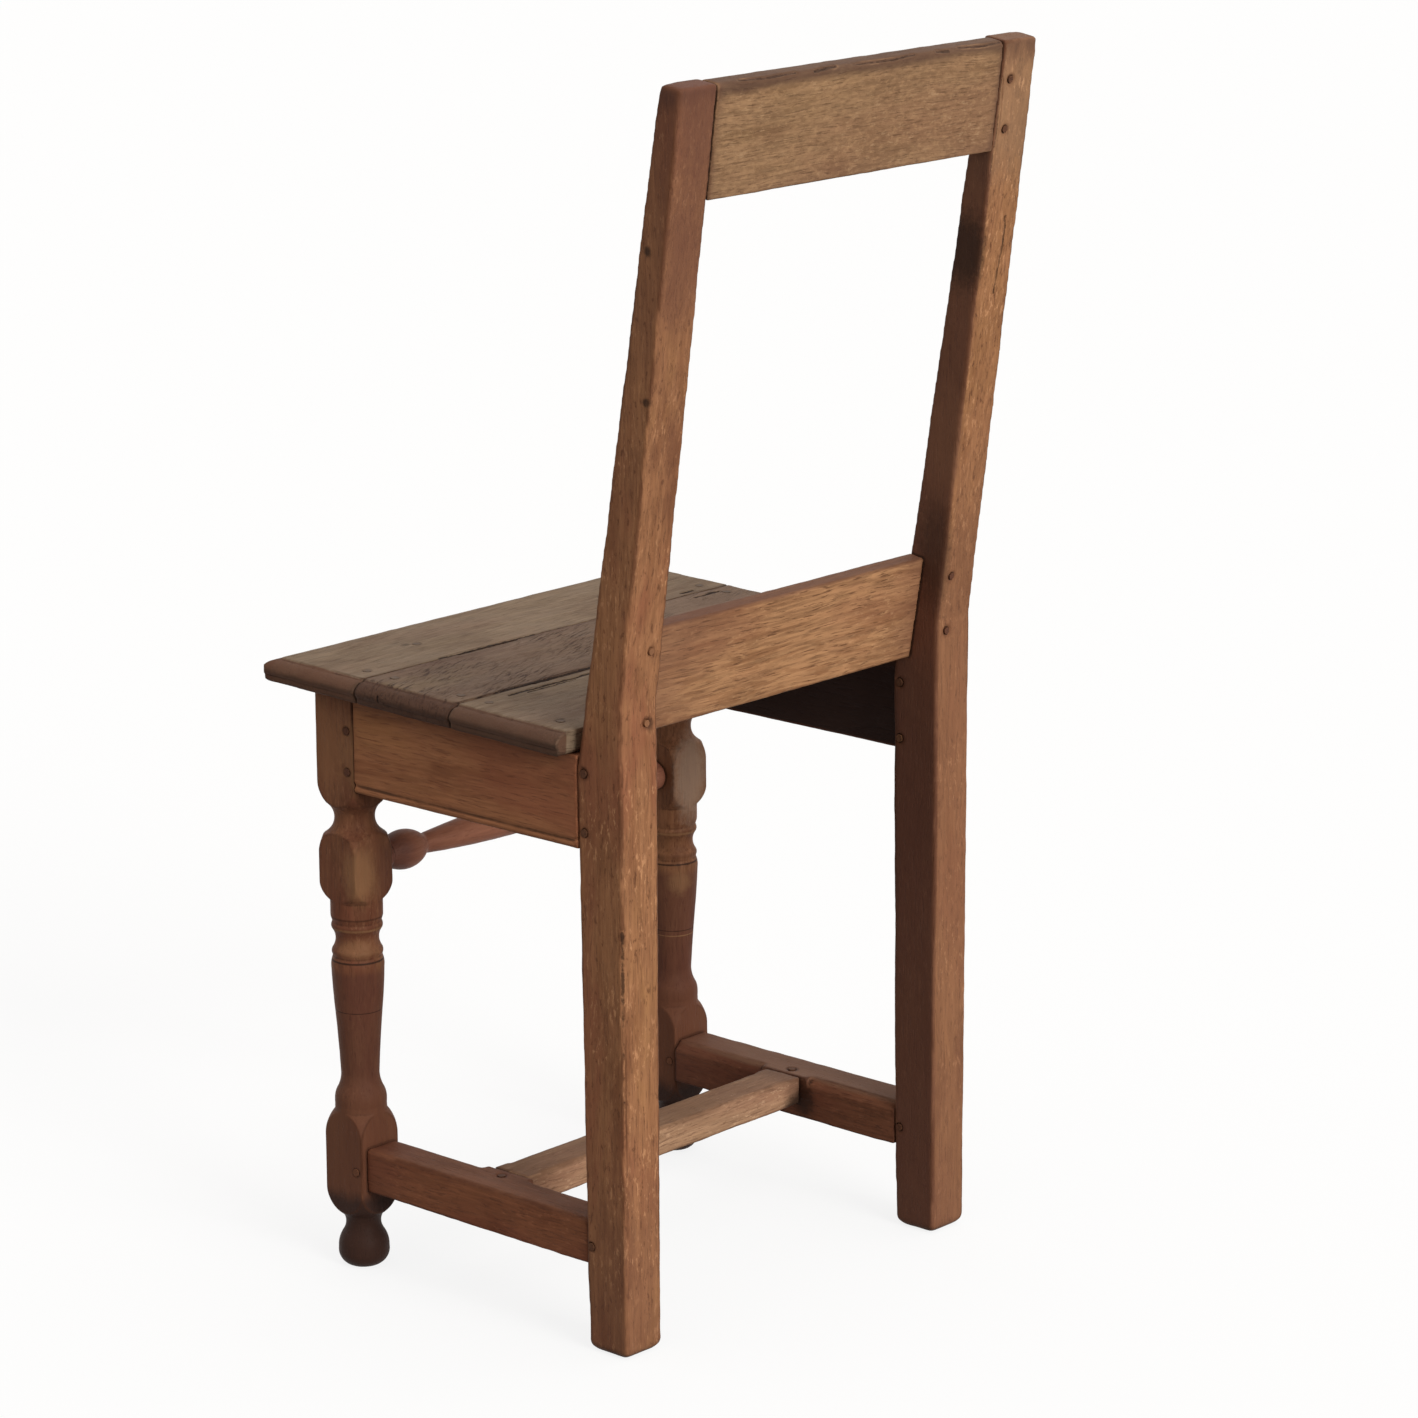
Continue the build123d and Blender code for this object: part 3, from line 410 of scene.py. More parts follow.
def aged(tree, wood, tone, colour, gold, grime, seam, pit):
    """Arrises rubbed golden or left dark, and hollows, joints and splits full of dirt."""
    speckle = wood["speckle"]
    arris = noted(tree, "arris")
    patches = cloud(tree, stretched(tree, wood["turned"], 34, 11), 1.0, 4.0, 0.66)
    rubbed = between(tree, arris, 0.14, 0.42)
    rubbed = reckoned(tree, "MULTIPLY", rubbed, between(tree, patches, 0.47, 0.57, 0.0, gold))
    colour = mixed(tree, rubbed, colour, tinted(tone, 1.45, 1.4, 1.35))
    handled = between(tree, patches, 0.6, 0.44, 0.0, grime)
    handled = reckoned(tree, "MULTIPLY", between(tree, arris, 0.04, 0.3), handled)
    colour = mixed(tree, handled, colour, waxed_dark(tone))
    colour = glazed(tree, colour, arris, -0.05, -0.25, grime, (*STAIN, 1))
    joint = reckoned(tree, "ADD", noted(tree, "joint"), -0.8)
    joint = reckoned(tree, "MULTIPLY_ADD", speckle, 1.6, joint)
    colour = glazed(tree, colour, joint, 5.0, 0.8, 0.4 * seam, tinted(tone, 0.42, 0.32, 0.3))
    colour = glazed(tree, colour, joint, 1.3, 0.5, seam, (*STAIN, 1))
    pits = reckoned(tree, "ADD", noted(tree, "split"), -0.45)
    pits = between(tree, reckoned(tree, "MULTIPLY_ADD", speckle, 0.9, pits), 0.25, 0.6)
    wood["relief"] = reckoned(tree, "MULTIPLY_ADD", pits, -1.5, wood["relief"])
    return mixed(tree, reckoned(tree, "MULTIPLY", pits, pit), colour, (*STAIN, 1))


def marked(tree, wood, colour, marks):
    """Knots and stains with ragged edges: (centre, half sizes, strength, colour if not dark)."""
    jagged = moved(tree, "MULTIPLY", wood["wander"], (0.3, 0.3, 0.3))
    jagged = moved(tree, "ADD", wood["place"], jagged)
    for centre, half, strength, *shade in marks:
        away = moved(tree, "DIVIDE", moved(tree, "SUBTRACT", jagged, centre), half)
        away = step(tree, "VectorMath", {"operation": "LENGTH"}, i0=away).outputs["Value"]
        away = reckoned(tree, "MULTIPLY_ADD", wood["speckle"], 0.8, reckoned(tree, "SUBTRACT", away, 0.4))
        shade = shade[0] if shade else STAIN
        colour = glazed(tree, colour, away, 1.15, 0.35, strength, (*shade, 1))
    return colour


def oak(
    name,
    along,
    tone,
    seed=(0, 0, 0),
    heart=(0.25, 0.3),
    ring=300.0,
    tilt=0.0,
    figure=0.12,
    fibre=0.5,
    streak=0.5,
    blush=0.5,
    mottle=0.5,
    finishes=(),
    fades=(),
    lines=(),
    worn=True,
    gold=0.45,
    grime=0.6,
    seam=0.8,
    pit=0.92,
    marks=(),
    rough=0.6,
    gloss=0.1,
    relief=0.5,
):
    """Old waxed oak of one tone with its grain along one axis.

    figure, fibre, streak, blush and mottle say how strongly rings, fibres, dark streaks,
    red clouds and patina show. gold says how much the arrises are rubbed, and grime, seam
    and pit how dark the hollows, joints and splits are. finishes lie under the fades and
    lines over them.
    """
    made = bpy.data.materials.new(name)
    tree = emptied(made)
    wood = oak_patterns(tree, along, seed, heart, ring, tilt)
    colour = oak_colour(tree, wood, tone, figure, fibre, streak, blush, mottle)
    for finish in finishes:
        colour = finish(tree, wood, tone, colour)
    colour = faded(tree, wood, colour, fades)
    for line in lines:
        colour = line(tree, wood, tone, colour)
    if worn:
        colour = aged(tree, wood, tone, colour, gold, grime, seam, pit)
    if marks:
        colour = marked(tree, wood, colour, marks)
    dull = reckoned(tree, "MULTIPLY_ADD", wood["clouds"], 0.25, rough - 0.12)
    bump = step(tree, "Bump", Strength=relief, Distance=0.0006, Height=wood["relief"])
    skin = step(tree, "BsdfPrincipled")
    skin.inputs["Specular IOR Level"].default_value = gloss
    tree.links.new(colour, skin.inputs["Base Color"])
    tree.links.new(dull, skin.inputs["Roughness"])
    tree.links.new(bump.outputs[0], skin.inputs["Normal"])
    tree.links.new(skin.outputs[0], step(tree, "OutputMaterial").inputs["Surface"])
    return made


def scuffed(amount):
    """A finish of small knocks, pale ones in patches and dark ones all over."""

    def finish(tree, wood, tone, colour):
        nicks = cloud(tree, stretched(tree, wood["turned"], 330, 110), 1.0, 4.0, 0.68)
        worst = between(tree, cloud(tree, wood["turned"], 22, 3.0, 0.6), 0.4, 0.62)
        pale = reckoned(tree, "MULTIPLY", between(tree, nicks, 0.55, 0.65, 0.0, amount), worst)
        colour = mixed(tree, pale, colour, tinted(tone, 1.75, 1.9, 2.0))
        return glazed(tree, colour, nicks, 0.42, 0.33, amount, waxed_dark(tone))

    return finish


def post_ends(outer, corner_wear):
    """Wear of a post: its foot all round, and the outer corner of its top."""

    def worn(place):
        foot = 1 - (place.z - 0.002) / 0.006
        corner = Vector((place.x - outer, place.z - POST_TOP)).length
        return max(foot, 1.2 - corner / corner_wear, 0)

    return worn


# The left post has a long split down its outer rear arris, two small knots in its outer
# face and a dent beside the lower rail. It darkens towards its top and its foot.
LEFT_ARRIS = 0.1424
FLOOR_DIRT = ("z", 0.005, 0.0, 0.9, STAIN)
post_left = worn_timber(
    "rear_post_left",
    "post_left",
    seed=1.3,
    wear=14,
    ends=post_ends(POST_OUTER, 0.014),
    flush=("lower_back_rail_pegs",),
    splits=(
        (0.0026, ((0.1896, LEFT_ARRIS, 0.318), (0.189, LEFT_ARRIS, 0.29), (0.1896, LEFT_ARRIS, 0.25))),
        (0.0014, ((0.189, LEFT_ARRIS, 0.25), (0.1886, LEFT_ARRIS, 0.2), (0.189, LEFT_ARRIS, 0.14))),
        (0.0012, ((0.1885, LEFT_ARRIS, 0.12), (0.189, LEFT_ARRIS, 0.06))),
    ),
)
post_left.data.materials.append(
    oak(
        "oak post left",
        "z",
        POST_TONE,
        seed=(0.31, 0.12, 0.4),
        blush=0.65,
        mottle=0.55,
        finishes=(scuffed(0.75),),
        gold=0.2,
        grime=0.8,
        seam=0.4,
        pit=0.75,
        fades=(
            ("z", 0.55, 0.93, 0.55, POST_SHADE),
            ("z", 0.893, 0.908, 0.7, CAP_SHADE),
            ("z", 0.2, 0.0, 0.45, POST_SHADE),
            FLOOR_DIRT,
        ),
        marks=(
            ((0.1895, 0.1705, 0.8005), (0.004, 0.004, 0.0045), 0.8),
            ((0.1895, 0.168, 0.697), (0.004, 0.0045, 0.004), 0.7),
            ((0.1596, 0.1403, 0.4633), (0.005, 0.006, 0.008), 0.6),
            ((0.165, 0.1985, 0.9), (0.028, 0.014, 0.09), 0.65, POST_SHADE),
            ((0.168, 0.187, 0.79), (0.026, 0.014, 0.09), 0.45, POST_SHADE),
        ),
    )
)

# The right post is split in the upper part of its rear face and along its inner arris.
# Its inner face, out of reach, has kept its dark wax, and is painted darker still as shade, as the rest
# of the chair keeps the light from it; a paler patch halfway up eases that painted shade.
post_right = worn_timber(
    "rear_post_right",
    "post_right",
    seed=4.1,
    wear=14,
    ends=post_ends(-POST_OUTER, 0.01),
    splits=(
        (0.0012, ((-0.1754, 0.1832, 0.7799), (-0.1778, 0.1823, 0.773), (-0.1767, 0.1798, 0.7547))),
        (0.0009, ((-0.1767, 0.1798, 0.7547), (-0.1741, 0.1775, 0.7373), (-0.173, 0.1758, 0.7249))),
        (0.001, ((-0.1535, 0.197, 0.882), (-0.1545, 0.192, 0.845), (-0.1535, 0.188, 0.815))),
    ),
)
post_right.data.materials.append(
    oak(
        "oak post right",
        "z",
        POST_TONE,
        seed=(0.77, 0.2, 0.1),
        mottle=0.7,
        finishes=(scuffed(0.8),),
        gold=0.2,
        seam=0.6,
        fades=(
            ("z", 0.78, 0.86, 0.35, BLEACHED),
            ("z", 0.66, 0.48, 0.5, LOW_SHADE),
            # the inner face darker: dark wax and painted shade
            ("x", -0.1545, -0.1525, 0.75, INNER_WAX_AND_SHADE),
            ("z", 0.885, 0.908, 0.65, CAP_SHADE),
            ("z", 0.2, 0.0, 0.3, POST_SHADE),
            FLOOR_DIRT,
        ),
        marks=(
            ((-0.1515, 0.166, 0.757), (0.01, 0.03, 0.035), 0.75),
            ((-0.1515, 0.14, 0.53), (0.01, 0.02, 0.05), 0.5),
            # a paler patch that eases the painted shade of the inner face
            ((-0.1515, 0.148, 0.615), (0.006, 0.03, 0.05), 0.6, LOW_SHADE),
        ),
    )
)

# ------------------------------------------------------------------ back rails
# A crest rail and a lower rail, quartered oak boards tenoned into the raked posts.
# The crest rail's top edge is dark from handling; both are paler than the posts.
CREST_TONE = (0.305, 0.177, 0.094)
CREST_EDGE = (0.09, 0.047, 0.033)
CREST_LOW = (0.2, 0.1, 0.065)
RAIL_END = (0.14, 0.07, 0.045)


def crest_edge_wear(place):
    return (place.z - 0.897) / 0.008 * (0.7 + 1.2 * noise.noise(place * 60))


def flecked(amount):
    """A finish of short ray flecks, light and dark, as on quartered oak."""

    def finish(tree, wood, tone, colour):
        rays = cloud(tree, stretched(tree, wood["grain"], 330, 170), 1.0, 3.0, 0.6)
        colour = glazed(tree, colour, rays, 0.52, 0.66, amount, tinted(tone, 1.5, 1.5, 1.45))
        return glazed(tree, colour, rays, 0.48, 0.34, amount, tinted(tone, 0.55, 0.48, 0.44))

    return finish


crest = worn_timber(
    "crest_rail",
    "crest_board",
    cell=0.0013,
    seed=2.2,
    wear=12,
    ends=crest_edge_wear,
    end_wear=10,
    splits=(
        (0.0012, ((0.128, 0.1978, 0.9102), (0.1, 0.1996, 0.9088), (0.071, 0.1985, 0.9098))),
        (0.0016, ((0.052, 0.1995, 0.9086), (0.03, 0.1982, 0.91))),
        (0.0011, ((0.012, 0.1992, 0.9094), (-0.03, 0.1998, 0.9082), (-0.055, 0.1984, 0.91))),
        (0.0017, ((-0.078, 0.199, 0.9096), (-0.09, 0.1997, 0.9084))),
        (0.0012, ((-0.102, 0.1984, 0.91), (-0.13, 0.1996, 0.9086), (-0.148, 0.1988, 0.9096))),
    ),
)
crest.data.materials.append(
    oak(
        "oak crest rail",
        "x",
        CREST_TONE,
        seed=(0.1, 0.42, 0.2),
        heart=(0.5, 0.02),
        figure=0.05,
        fibre=0.55,
        streak=0.4,
        blush=0.3,
        finishes=(scuffed(0.45), flecked(0.36)),
        pit=0.55,
        fades=(
            ("z", 0.8985, 0.9065, 0.8, CREST_EDGE),
            ("z", 0.845, 0.822, 0.35, CREST_LOW),
            ("x", -0.143, -0.1525, 0.7, RAIL_END),
            ("x", 0.142, 0.153, 0.5, RAIL_END),
        ),
    )
)

LOWER_TONE = (0.385, 0.2, 0.098)
LOWER_LEFT = (0.2, 0.095, 0.058)
LOWER_RIGHT = (0.2, 0.09, 0.055)
LOWER_EDGE = (0.12, 0.053, 0.034)


def flamed(amount, top, bottom):
    """A finish of wavy figure, which starts at one height and is full at a lower one."""

    def finish(tree, wood, tone, colour):
        waves = step(tree, "TexNoise", Scale=1.0, Detail=3.0, Roughness=0.5, Distortion=1.1)
        tree.links.new(stretched(tree, wood["grain"], 185, 30), waves.inputs["Vector"])
        waves = waves.outputs["Fac"]
        low_part = between(tree, axis_of(tree, wood["place"], "z"), top, bottom)
        crests = between(tree, waves, 0.5, 0.62, 0.0, amount)
        crests = reckoned(tree, "MULTIPLY", crests, low_part)
        colour = mixed(tree, crests, colour, tinted(tone, 1.3, 1.32, 1.3))
        troughs = between(tree, waves, 0.48, 0.4, 0.0, amount)
        troughs = reckoned(tree, "MULTIPLY", troughs, low_part)
        return mixed(tree, troughs, colour, tinted(tone, 0.72, 0.64, 0.58))

    return finish


lower_rail = worn_timber("lower_back_rail", "lower_board", cell=0.0013, seed=5.7, wear=10)
lower_rail.data.materials.append(
    oak(
        "oak lower rail",
        "x",
        LOWER_TONE,
        seed=(0.2, 0.9, 0.5),
        heart=(0.0, 0.93),
        figure=0.1,
        fibre=0.95,
        streak=0.75,
        blush=0.3,
        mottle=0.35,
        finishes=(scuffed(0.35), flamed(0.42, 0.51, 0.48)),
        gold=0.3,
        seam=0.5,
        fades=(
            ("x", 0.03, 0.16, 0.6, LOWER_LEFT),
            ("x", -0.1, -0.16, 0.55, LOWER_RIGHT),
            ("z", 0.5225, 0.5255, 0.85, LOWER_EDGE),
        ),
    )
)

# ------------------------------------------------------------------ seat rails
# Deep rails under the seat. The side rails have a bead scratched along their lower
# edge; the front rail is plain and sits just behind the faces of the legs.
RAIL_TONE = (0.38, 0.162, 0.077)
SHADE_UNDER_SEAT = (0.14, 0.06, 0.035)
RAIL_INSIDE_DARK_AND_SHADE = (0.026, 0.015, 0.014)
RAIL_INNER = 0.168
INNER_CHANGE = 0.002
for side, away, outward in (("left", 0.0, 1), ("right", 3.3, -1)):
    rail = worn_timber("side_rail_" + side, "seat_rail_" + side, seed=6.1 + away, wear=4, cell=0.0012)
    inner = outward * RAIL_INNER
    rail.data.materials.append(
        oak(
            "oak seat rail " + side,
            "y",
            RAIL_TONE,
            seed=(0.6 + away, 0.33, 0.15),
            mottle=0.55,
            gold=0.25,
            grime=0.7,
            seam=0.3,
            fades=(
                # the inner faces nearly black: dark unfinished oak and painted shade inside the seat
                # frame
                ("x", inner + outward * INNER_CHANGE, inner, 0.95, RAIL_INSIDE_DARK_AND_SHADE),
                # painted shade along the top of the rail, under the seat
                ("z", 0.425, 0.44, 0.4, SHADE_UNDER_SEAT),
            ),
        )
    )

front_rail = worn_timber("front_rail", "seat_rail_front", seed=7.7, wear=8)
front_rail.data.materials.append(oak("oak seat rail front", "x", RAIL_TONE, seed=(0.9, 0.1, 0.7)))

# ------------------------------------------------------------------ front legs
# Turned on a pole lathe from square oak: ball foot, cup, slim vase, beads and a
# necked shoulder between the blocks that take the rails and stretchers.
TURNED_TONE = (0.215, 0.094, 0.048)
VASE_SHADE = (0.1, 0.038, 0.027)
BLOCK_SHADE = (0.17, 0.068, 0.036)
FOOT_SHADE = (0.036, 0.018, 0.014)
GOLDEN = (0.36, 0.19, 0.09)
REDDISH = (0.32, 0.15, 0.07)
DRY_PATCH = (0.34, 0.23, 0.165)


def ringed(rings):
    """Lines scribed or rubbed round a turning: (height, half width, strength, colour)."""

    def finish(tree, wood, tone, colour):
        height = axis_of(tree, wood["place"], "z")
        for level, half, strength, shade in rings:
            off = reckoned(tree, "ABSOLUTE", reckoned(tree, "SUBTRACT", height, level))
            off = reckoned(tree, "MULTIPLY_ADD", wood["speckle"], half, off)
            colour = glazed(tree, colour, off, 1.5 * half, 0.7 * half, strength, (*shade, 1))
        return colour

    return finish


RUBBED_RING = (0.2634, 0.0014, 0.55, GOLDEN)
VASE_GROOVE = (0.2387, 0.0011, 0.85, STAIN)
leg_rings = {
    "left": (RUBBED_RING, VASE_GROOVE, (0.2001, 0.0006, 0.75, STAIN), (0.2718, 0.0012, 0.5, STAIN)),
    "right": (RUBBED_RING, VASE_GROOVE, (0.1837, 0.0006, 0.7, STAIN), (0.1796, 0.0006, 0.6, GOLDEN)),
}
leg_patches = {
    "left": (
        # painted highlights: golden patches where the window light falls on the middle block and the
        # collar
        ((0.187, -0.1225, 0.308), (0.02, 0.014, 0.028), 0.5, GOLDEN),
        ((0.187, -0.128, 0.25), (0.022, 0.02, 0.009), 0.4, GOLDEN),
        ((0.19, -0.1225, 0.4), (0.012, 0.014, 0.035), 0.3, GOLDEN),
        ((0.16, -0.1225, 0.31), (0.012, 0.01, 0.03), 0.5, VASE_SHADE),
        ((0.1915, -0.15, 0.405), (0.01, 0.022, 0.045), 0.5, REDDISH),
    ),
    "right": (
        ((-0.172, -0.1217, 0.31), (0.022, 0.008, 0.045), 0.7, DRY_PATCH),
        ((-0.16, -0.123, 0.225), (0.014, 0.012, 0.012), 0.4, GOLDEN),
    ),
}
for side, away in (("left", 0.0), ("right", 2.7)):
    leg = worn_timber(
        "front_leg_" + side,
        "leg_" + side,
        seed=8.4 + away,
        wear=2,
        cell=0.00095,
        dents=0.0003,
        flush=("side_stretcher_pegs",),
    )
    leg.data.materials.append(
        oak(
            "turned oak leg " + side,
            "z",
            TURNED_TONE,
            seed=(0.5 + away, 0.7, 0.9),
            heart=(-0.16, 0.17),
            blush=0.7,
            mottle=0.75,
            finishes=(scuffed(0.3),),
            fades=(
                ("z", 0.236, 0.228, 0.6, VASE_SHADE),
                ("z", 0.15, 0.115, 0.5, BLOCK_SHADE),
                ("z", 0.066, 0.052, 0.9, FOOT_SHADE),
            ),
            lines=(ringed(leg_rings[side]),),
            gold=0.3,
            grime=0.9,
            seam=0.4,
            marks=leg_patches[side],
            rough=0.55,
            gloss=0.08,
        )
    )

# ------------------------------------------------------------------ front stretcher
# A slim turned rail between the middle blocks, swelling at its middle, with a bulb at
# each end. Heels and boots have polished it dark.
STRETCHER_TONE = (0.31, 0.125, 0.076)
BULB_SHADE = (0.13, 0.05, 0.038)
turned_rail = worn_timber(
    "front_stretcher", "turned_stretcher", seed=9.9, wear=3, cell=0.001, dents=0.0003
)
turned_rail.data.materials.append(
    oak(
        "turned oak stretcher",
        "x",
        STRETCHER_TONE,
        seed=(0.15, 0.25, 0.35),
        heart=(0.31, 0.14),
        fibre=0.35,
        fades=(("x", 0.118, 0.134, 0.65, BULB_SHADE),),
        gold=0.3,
        rough=0.52,
        gloss=0.16,
    )
)

# ------------------------------------------------------------------ floor stretchers
# Stout rails near the floor set in an H, their inner arrises chamfered and stopped.
# The cross piece is paler, dry and scuffed by feet.
STRETCHER_FRONT = (0.15, 0.055, 0.034)
TOP_FROM = 0.0935
TOP_FULL = 0.0965
joint_stain = ((-0.153, 0.0135, 0.08), (0.012, 0.013, 0.018), 0.8)
stretcher_looks = {
    "left": {"away": 0.0, "tone": (0.24, 0.09, 0.044), "top": (0.17, 0.085, 0.052), "top_dust_and_light": 0.4},
    # the right stretcher's tone is darkened as painted shade on its inner face, and its top is laid
    # lighter over it where the light falls
    "right": {"away": 1.9, "tone": (0.19, 0.075, 0.04), "top": (0.23, 0.125, 0.078), "top_dust_and_light": 0.7},
}
for side, look in stretcher_looks.items():
    low_rail = worn_timber(
        "side_stretcher_" + side, "low_stretcher_" + side, seed=10.2 + look["away"], wear=10
    )
    low_rail.data.materials.append(
        oak(
            "oak stretcher " + side,
            "y",
            look["tone"],
            seed=(0.25 + look["away"], 0.6, 0.45),
            mottle=0.7,
            finishes=(scuffed(0.4),),
            fades=(
                ("z", TOP_FROM, TOP_FULL, look["top_dust_and_light"], look["top"]),
                ("y", -0.06, -0.125, 0.5, STRETCHER_FRONT),
            ),
            gold=0.3,
            grime=0.75,
            seam=0.4,
            marks=(joint_stain,),
        )
    )

CROSS_TONE = (0.38, 0.222, 0.132)
CROSS_TOP = (0.16, 0.082, 0.045)
cross = worn_timber(
    "cross_stretcher",
    "cross_bar",
    seed=12.5,
    wear=12,
    splits=((0.0012, ((-0.02, 0.0095, 0.0972), (-0.06, 0.0098, 0.0972), (-0.1, 0.0092, 0.0974))),),
)
cross.data.materials.append(
    oak(
        "oak cross stretcher",
        "x",
        CROSS_TONE,
        seed=(0.35, 0.15, 0.95),
        blush=0.3,
        finishes=(scuffed(0.5),),
        fades=(
            ("z", TOP_FROM, TOP_FULL, 0.5, CROSS_TOP),
            ("x", -0.12, -0.148, 0.6, RAIL_END),
        ),
        gold=0.3,
        seam=0.5,
        marks=(((-0.15, 0.0104, 0.077), (0.02, 0.008, 0.012), 0.85),),
    )
)

# ------------------------------------------------------------------ seat
# Three oak boards nailed down to the rails, their outer edges moulded. The top is
# dry and grey from wear, the joints between the boards have opened and filled with dirt.
SEAT_HEIGHT = 0.4634
SEAT_FRONT = -0.2007
SEAT_FALL = 0.02217
SIDE_MOULDING = 0.1955
FRONT_MOULDING = -0.189
QUIRK = 0.0017
DRY_GREY = (0.235, 0.185, 0.14, 1)


def on_seat(*spots):
    """Places on the top of the seat, which falls towards the back."""
    return [(x, y, SEAT_HEIGHT - (y - SEAT_FRONT) * SEAT_FALL) for x, y in spots]


def dried(amount):
    """A finish of grey wood that has lost its wax, more where the patina is thin."""

    def finish(tree, wood, tone, colour):
        bleached = between(tree, wood["clouds"], 0.3, 0.62, amount, 0.4 * amount)
        return mixed(tree, bleached, colour, DRY_GREY)

    return finish


def scratched(amount):
    """A finish of short tool marks that cross the board askew, cut in and filled with dirt."""

    def finish(tree, wood, tone, colour):
        askew = (0, 0, math.radians(-20))
        turn = step(tree, "Mapping", Vector=wood["place"], Rotation=askew).outputs[0]
        cuts = cloud(tree, stretched(tree, turn, 60, 300, 520), 1.0, 3.0, 0.6)
        where = between(tree, cloud(tree, wood["turned"], 16, 2.0, 0.5), 0.36, 0.6)
        cuts = reckoned(tree, "MULTIPLY", between(tree, cuts, 0.53, 0.64), where)
        wood["relief"] = reckoned(tree, "MULTIPLY_ADD", cuts, -2.2 * amount, wood["relief"])
        return mixed(tree, reckoned(tree, "MULTIPLY", cuts, amount), colour, waxed_dark(tone))

    return finish


boards = {
    "front": {
        "away": 0.0,
        "moulding": (0.125, 0.058, 0.036),
        "tone": (0.225, 0.155, 0.1),
        "blush": 0.25,
        "finishes": (dried(0.25),),
        "splits": (
            (0.0015, on_seat((0.118, -0.1046), (0.07, -0.1049), (0.02, -0.1046))),
            (0.0018, on_seat((-0.15, -0.1105), (-0.163, -0.1108))),
        ),
        "marks": (((0.1083, -0.1501, 0.4623), (0.005, 0.003, 0.003), 0.5),),
        "fades": (),
    },
    "middle": {
        "away": 1.1,
        "moulding": (0.08, 0.038, 0.025),
        "tone": (0.172, 0.108, 0.072),
        "blush": 0.75,
        "finishes": (dried(0.12), scratched(0.9)),
        "splits": (
            (0.0019, on_seat((0.155, -0.0098), (0.11, -0.01), (0.05, -0.01))),
            (0.0011, on_seat((0.2, -0.0092), (0.155, -0.0092))),
            (0.0014, on_seat((0.1, -0.1024), (0.04, -0.1024))),
            (0.0014, on_seat((-0.148, -0.0947), (-0.176, -0.095))),
            (0.0016, on_seat((-0.15, -0.0643), (-0.168, -0.0645))),
            (0.0012, ((0.2068, -0.0798, 0.4612), (0.2068, -0.0795, 0.4405))),
            (0.0016, ((0.206, -0.0682, 0.4445), (0.2066, -0.0678, 0.4415))),
        ),
        "marks": (((-0.168, -0.095, 0.461), (0.008, 0.003, 0.003), 0.8),),
        "fades": (("x", -0.04, -0.16, 0.5, (0.25, 0.17, 0.12)),),
    },
    "rear": {
        "away": 2.3,
        "moulding": (0.104, 0.05, 0.032),
        "tone": (0.215, 0.15, 0.098),
        "blush": 0.25,
        "finishes": (dried(0.2),),
        "splits": (
            (0.0016, on_seat((0.155, 0.0022), (0.11, 0.0018), (0.066, 0.0022), (0.05, 0.0014))),
            (0.0013, on_seat((0.12, -0.0074), (0.05, -0.0074))),
            (0.001, on_seat((0.14, 0.006), (0.09, 0.0055))),
        ),
        "marks": (((0.1773, 0.073, 0.4573), (0.006, 0.003, 0.003), 0.6),),
        "fades": (),
    },
}
for board, look in boards.items():
    plank = worn_timber(
        "seat_board_" + board,
        "plank_" + board,
        seed=13.3 + look["away"],
        wear=6,
        cell=0.00118,
        splits=look["splits"],
        flush=("seat_nails",),
    )
    plank.data.materials.append(
        oak(
            "oak seat " + board,
            "x",
            look["tone"],
            seed=(0.45 + look["away"], 0.85, 0.05),
            heart=(0.42, 0.6),
            tilt=0.1,
            fibre=0.45,
            blush=look["blush"],
            finishes=look["finishes"],
            fades=(
                # the moulded edges darker: dark wax in the profile and painted shade of the roll, set
                # board by board
                ("x", SIDE_MOULDING, SIDE_MOULDING + QUIRK, 0.88, look["moulding"]),
                ("x", -SIDE_MOULDING, -SIDE_MOULDING - QUIRK, 0.88, look["moulding"]),
                ("y", FRONT_MOULDING, FRONT_MOULDING - QUIRK, 0.88, look["moulding"]),
                *look["fades"],
            ),
            gold=0.2,
            grime=0.9,
            seam=0.75,
            marks=look["marks"],
            rough=0.68,
            relief=0.8,
        )
    )

# ------------------------------------------------------------------ pegs
# Riven oak pegs driven through the joints, their end grain dark with wax and standing
# a hair proud where the timbers have shrunk.
PEG_RINGS = 900
DARK_PEG = (0.13, 0.058, 0.032)
BACK_PEG = (0.12, 0.05, 0.028)
BACK_PEG_LEFT = (0.29, 0.135, 0.066)
dark_pegs = oak("peg end grain", "x", DARK_PEG, ring=PEG_RINGS, worn=False)
stretcher_pegs = oak(
    "peg end grain of the stretchers",
    "x",
    DARK_PEG,
    ring=PEG_RINGS,
    fades=(("y", 0.0, -0.03, 0.95, BLOCK_SHADE),),
    worn=False,
)
back_pegs = oak(
    "peg end grain of the back",
    "y",
    BACK_PEG,
    ring=PEG_RINGS,
    fades=(("x", 0.0, 0.05, 0.8, BACK_PEG_LEFT),),
    worn=False,
)
special_pegs = {"lower_back_rail_pegs": back_pegs, "side_stretcher_pegs": stretcher_pegs}
for node in sorted(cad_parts):
    if node.endswith("_pegs"):
        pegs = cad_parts[node]
        pegs.data.materials.clear()
        pegs.data.materials.append(special_pegs.get(node, dark_pegs))

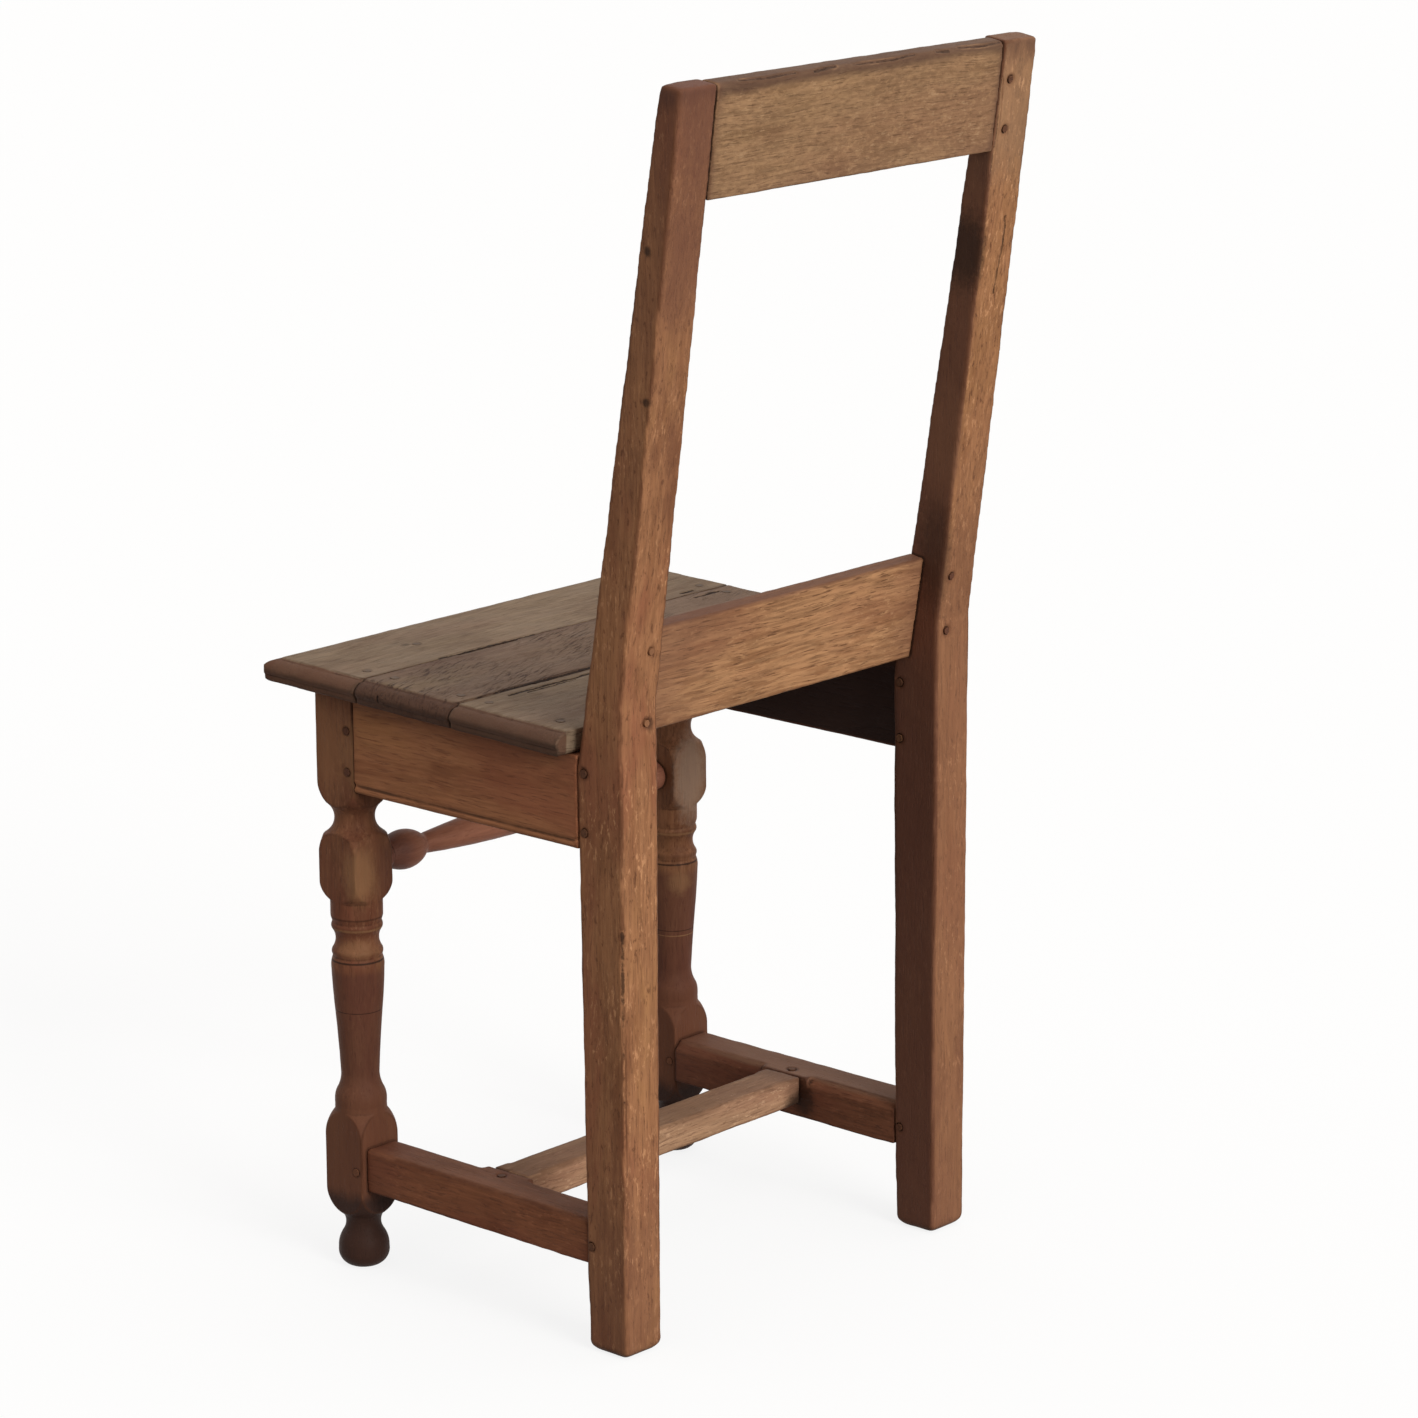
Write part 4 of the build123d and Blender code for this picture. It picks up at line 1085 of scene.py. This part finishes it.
# ------------------------------------------------------------------ seat nails
# Forged nails with their heads beaten level with the boards, rusted black and then
# filled over with the same dirt as the seat.
RUST = (0.1, 0.068, 0.05, 1)
DUSTY_RUST = (0.17, 0.115, 0.08, 1)
iron = bpy.data.materials.new("rusted iron")
tree = emptied(iron)
rust = cloud(tree, step(tree, "TexCoord").outputs["Object"], 420, 4.0, 0.7)
skin = step(tree, "BsdfPrincipled")
skin.inputs["Specular IOR Level"].default_value = 0.2
colour = mixed(tree, between(tree, rust, 0.4, 0.65), RUST, DUSTY_RUST)
tree.links.new(colour, skin.inputs["Base Color"])
tree.links.new(between(tree, rust, 0.3, 0.7, 0.6, 0.9), skin.inputs["Roughness"])
pits = step(tree, "Bump", Strength=0.6, Distance=0.0004, Height=rust)
tree.links.new(pits.outputs[0], skin.inputs["Normal"])
tree.links.new(skin.outputs[0], step(tree, "OutputMaterial").inputs["Surface"])
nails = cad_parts["seat_nails"]
nails.data.materials.clear()
nails.data.materials.append(iron)

# ------------------------------------------------------------------ floor and light
# A plain pale floor without an edge, one broad soft lamp from behind the chair, a weak
# one over the seat and an even white room.
WHITE = (1, 1, 1, 1)
FLOOR_GREY = (0.16, 0.155, 0.15, 1)
WARM_WHITE = (1, 0.95, 0.91, 1)


def seen_by_eye(tree):
    """1 where the camera sees the surface, also in a shine or through glass, else 0."""
    path = step(tree, "LightPath")
    seen = reckoned(tree, "MAXIMUM", path.outputs["Is Camera Ray"], path.outputs["Is Glossy Ray"])
    return reckoned(tree, "MAXIMUM", seen, path.outputs["Is Transmission Ray"])


deselect()
bpy.ops.mesh.primitive_plane_add(size=60, location=(0, 0, 0))
floor = bpy.context.object
floor.name = "floor"
paint = bpy.data.materials.new("pale floor")
tree = emptied(paint)
seen = seen_by_eye(tree)
matt = step(tree, "BsdfDiffuse", Color=mixed(tree, seen, FLOOR_GREY, WHITE))
white = step(tree, "Emission", Color=WHITE, Strength=1.0)
surface = step(tree, "MixShader", i0=reckoned(tree, "MULTIPLY", seen, 0.84))
tree.links.new(matt.outputs[0], surface.inputs[1])
tree.links.new(white.outputs[0], surface.inputs[2])
tree.links.new(surface.outputs[0], step(tree, "OutputMaterial").inputs["Surface"])
floor.data.materials.append(paint)

room = bpy.data.worlds.new("white room")
bpy.context.scene.world = room
tree = emptied(room)
seen = seen_by_eye(tree)
glow = step(tree, "Background", Color=mixed(tree, seen, WARM_WHITE, WHITE))
tree.links.new(between(tree, seen, 0, 1, 0.46, 1.0), glow.inputs["Strength"])
tree.links.new(glow.outputs[0], step(tree, "OutputWorld").inputs["Surface"])


def lamp(name, towards, strength, softness, colour):
    """A broad lamp far away, shining along the line from a point to the chair."""
    bpy.ops.object.light_add(type="SUN", location=towards)
    made = bpy.context.object
    made.name = name
    made.rotation_euler = Vector(towards).to_track_quat("Z", "Y").to_euler()
    made.data.energy = strength
    made.data.angle = math.radians(softness)
    made.data.color = colour


lamp("window", (0.35, 3.0, 1.3), 2.5, 30, (1.0, 0.99, 0.95))
lamp("ceiling", (-0.4, 0.4, 3.0), 0.6, 60, (1.0, 0.98, 0.96))

# ------------------------------------------------------------------ camera
# Behind the chair and to the sitter's left, well above the seat, with a long lens and
# a very slight roll.
STAND = Vector((2.63197, 2.42569, 1.34876))
AIM = Vector((0.07975, 0.12517, 0.45505))
ROLL = math.radians(-0.24)
bpy.ops.object.camera_add()
camera = bpy.context.object
ahead = (AIM - STAND).normalized()
right = ahead.cross(Vector((0, 0, 1))).normalized()
over = right.cross(ahead)
rightward = right * math.cos(ROLL) + over * math.sin(ROLL)
upward = over * math.cos(ROLL) - right * math.sin(ROLL)
turned = Matrix((rightward, upward, -ahead)).transposed().to_4x4()
camera.matrix_world = Matrix.Translation(STAND) @ turned
camera.data.lens = 127.82
camera.data.sensor_width = 36
camera.data.clip_end = 100
bpy.context.scene.camera = camera
bpy.context.scene.view_settings.view_transform = "Standard"
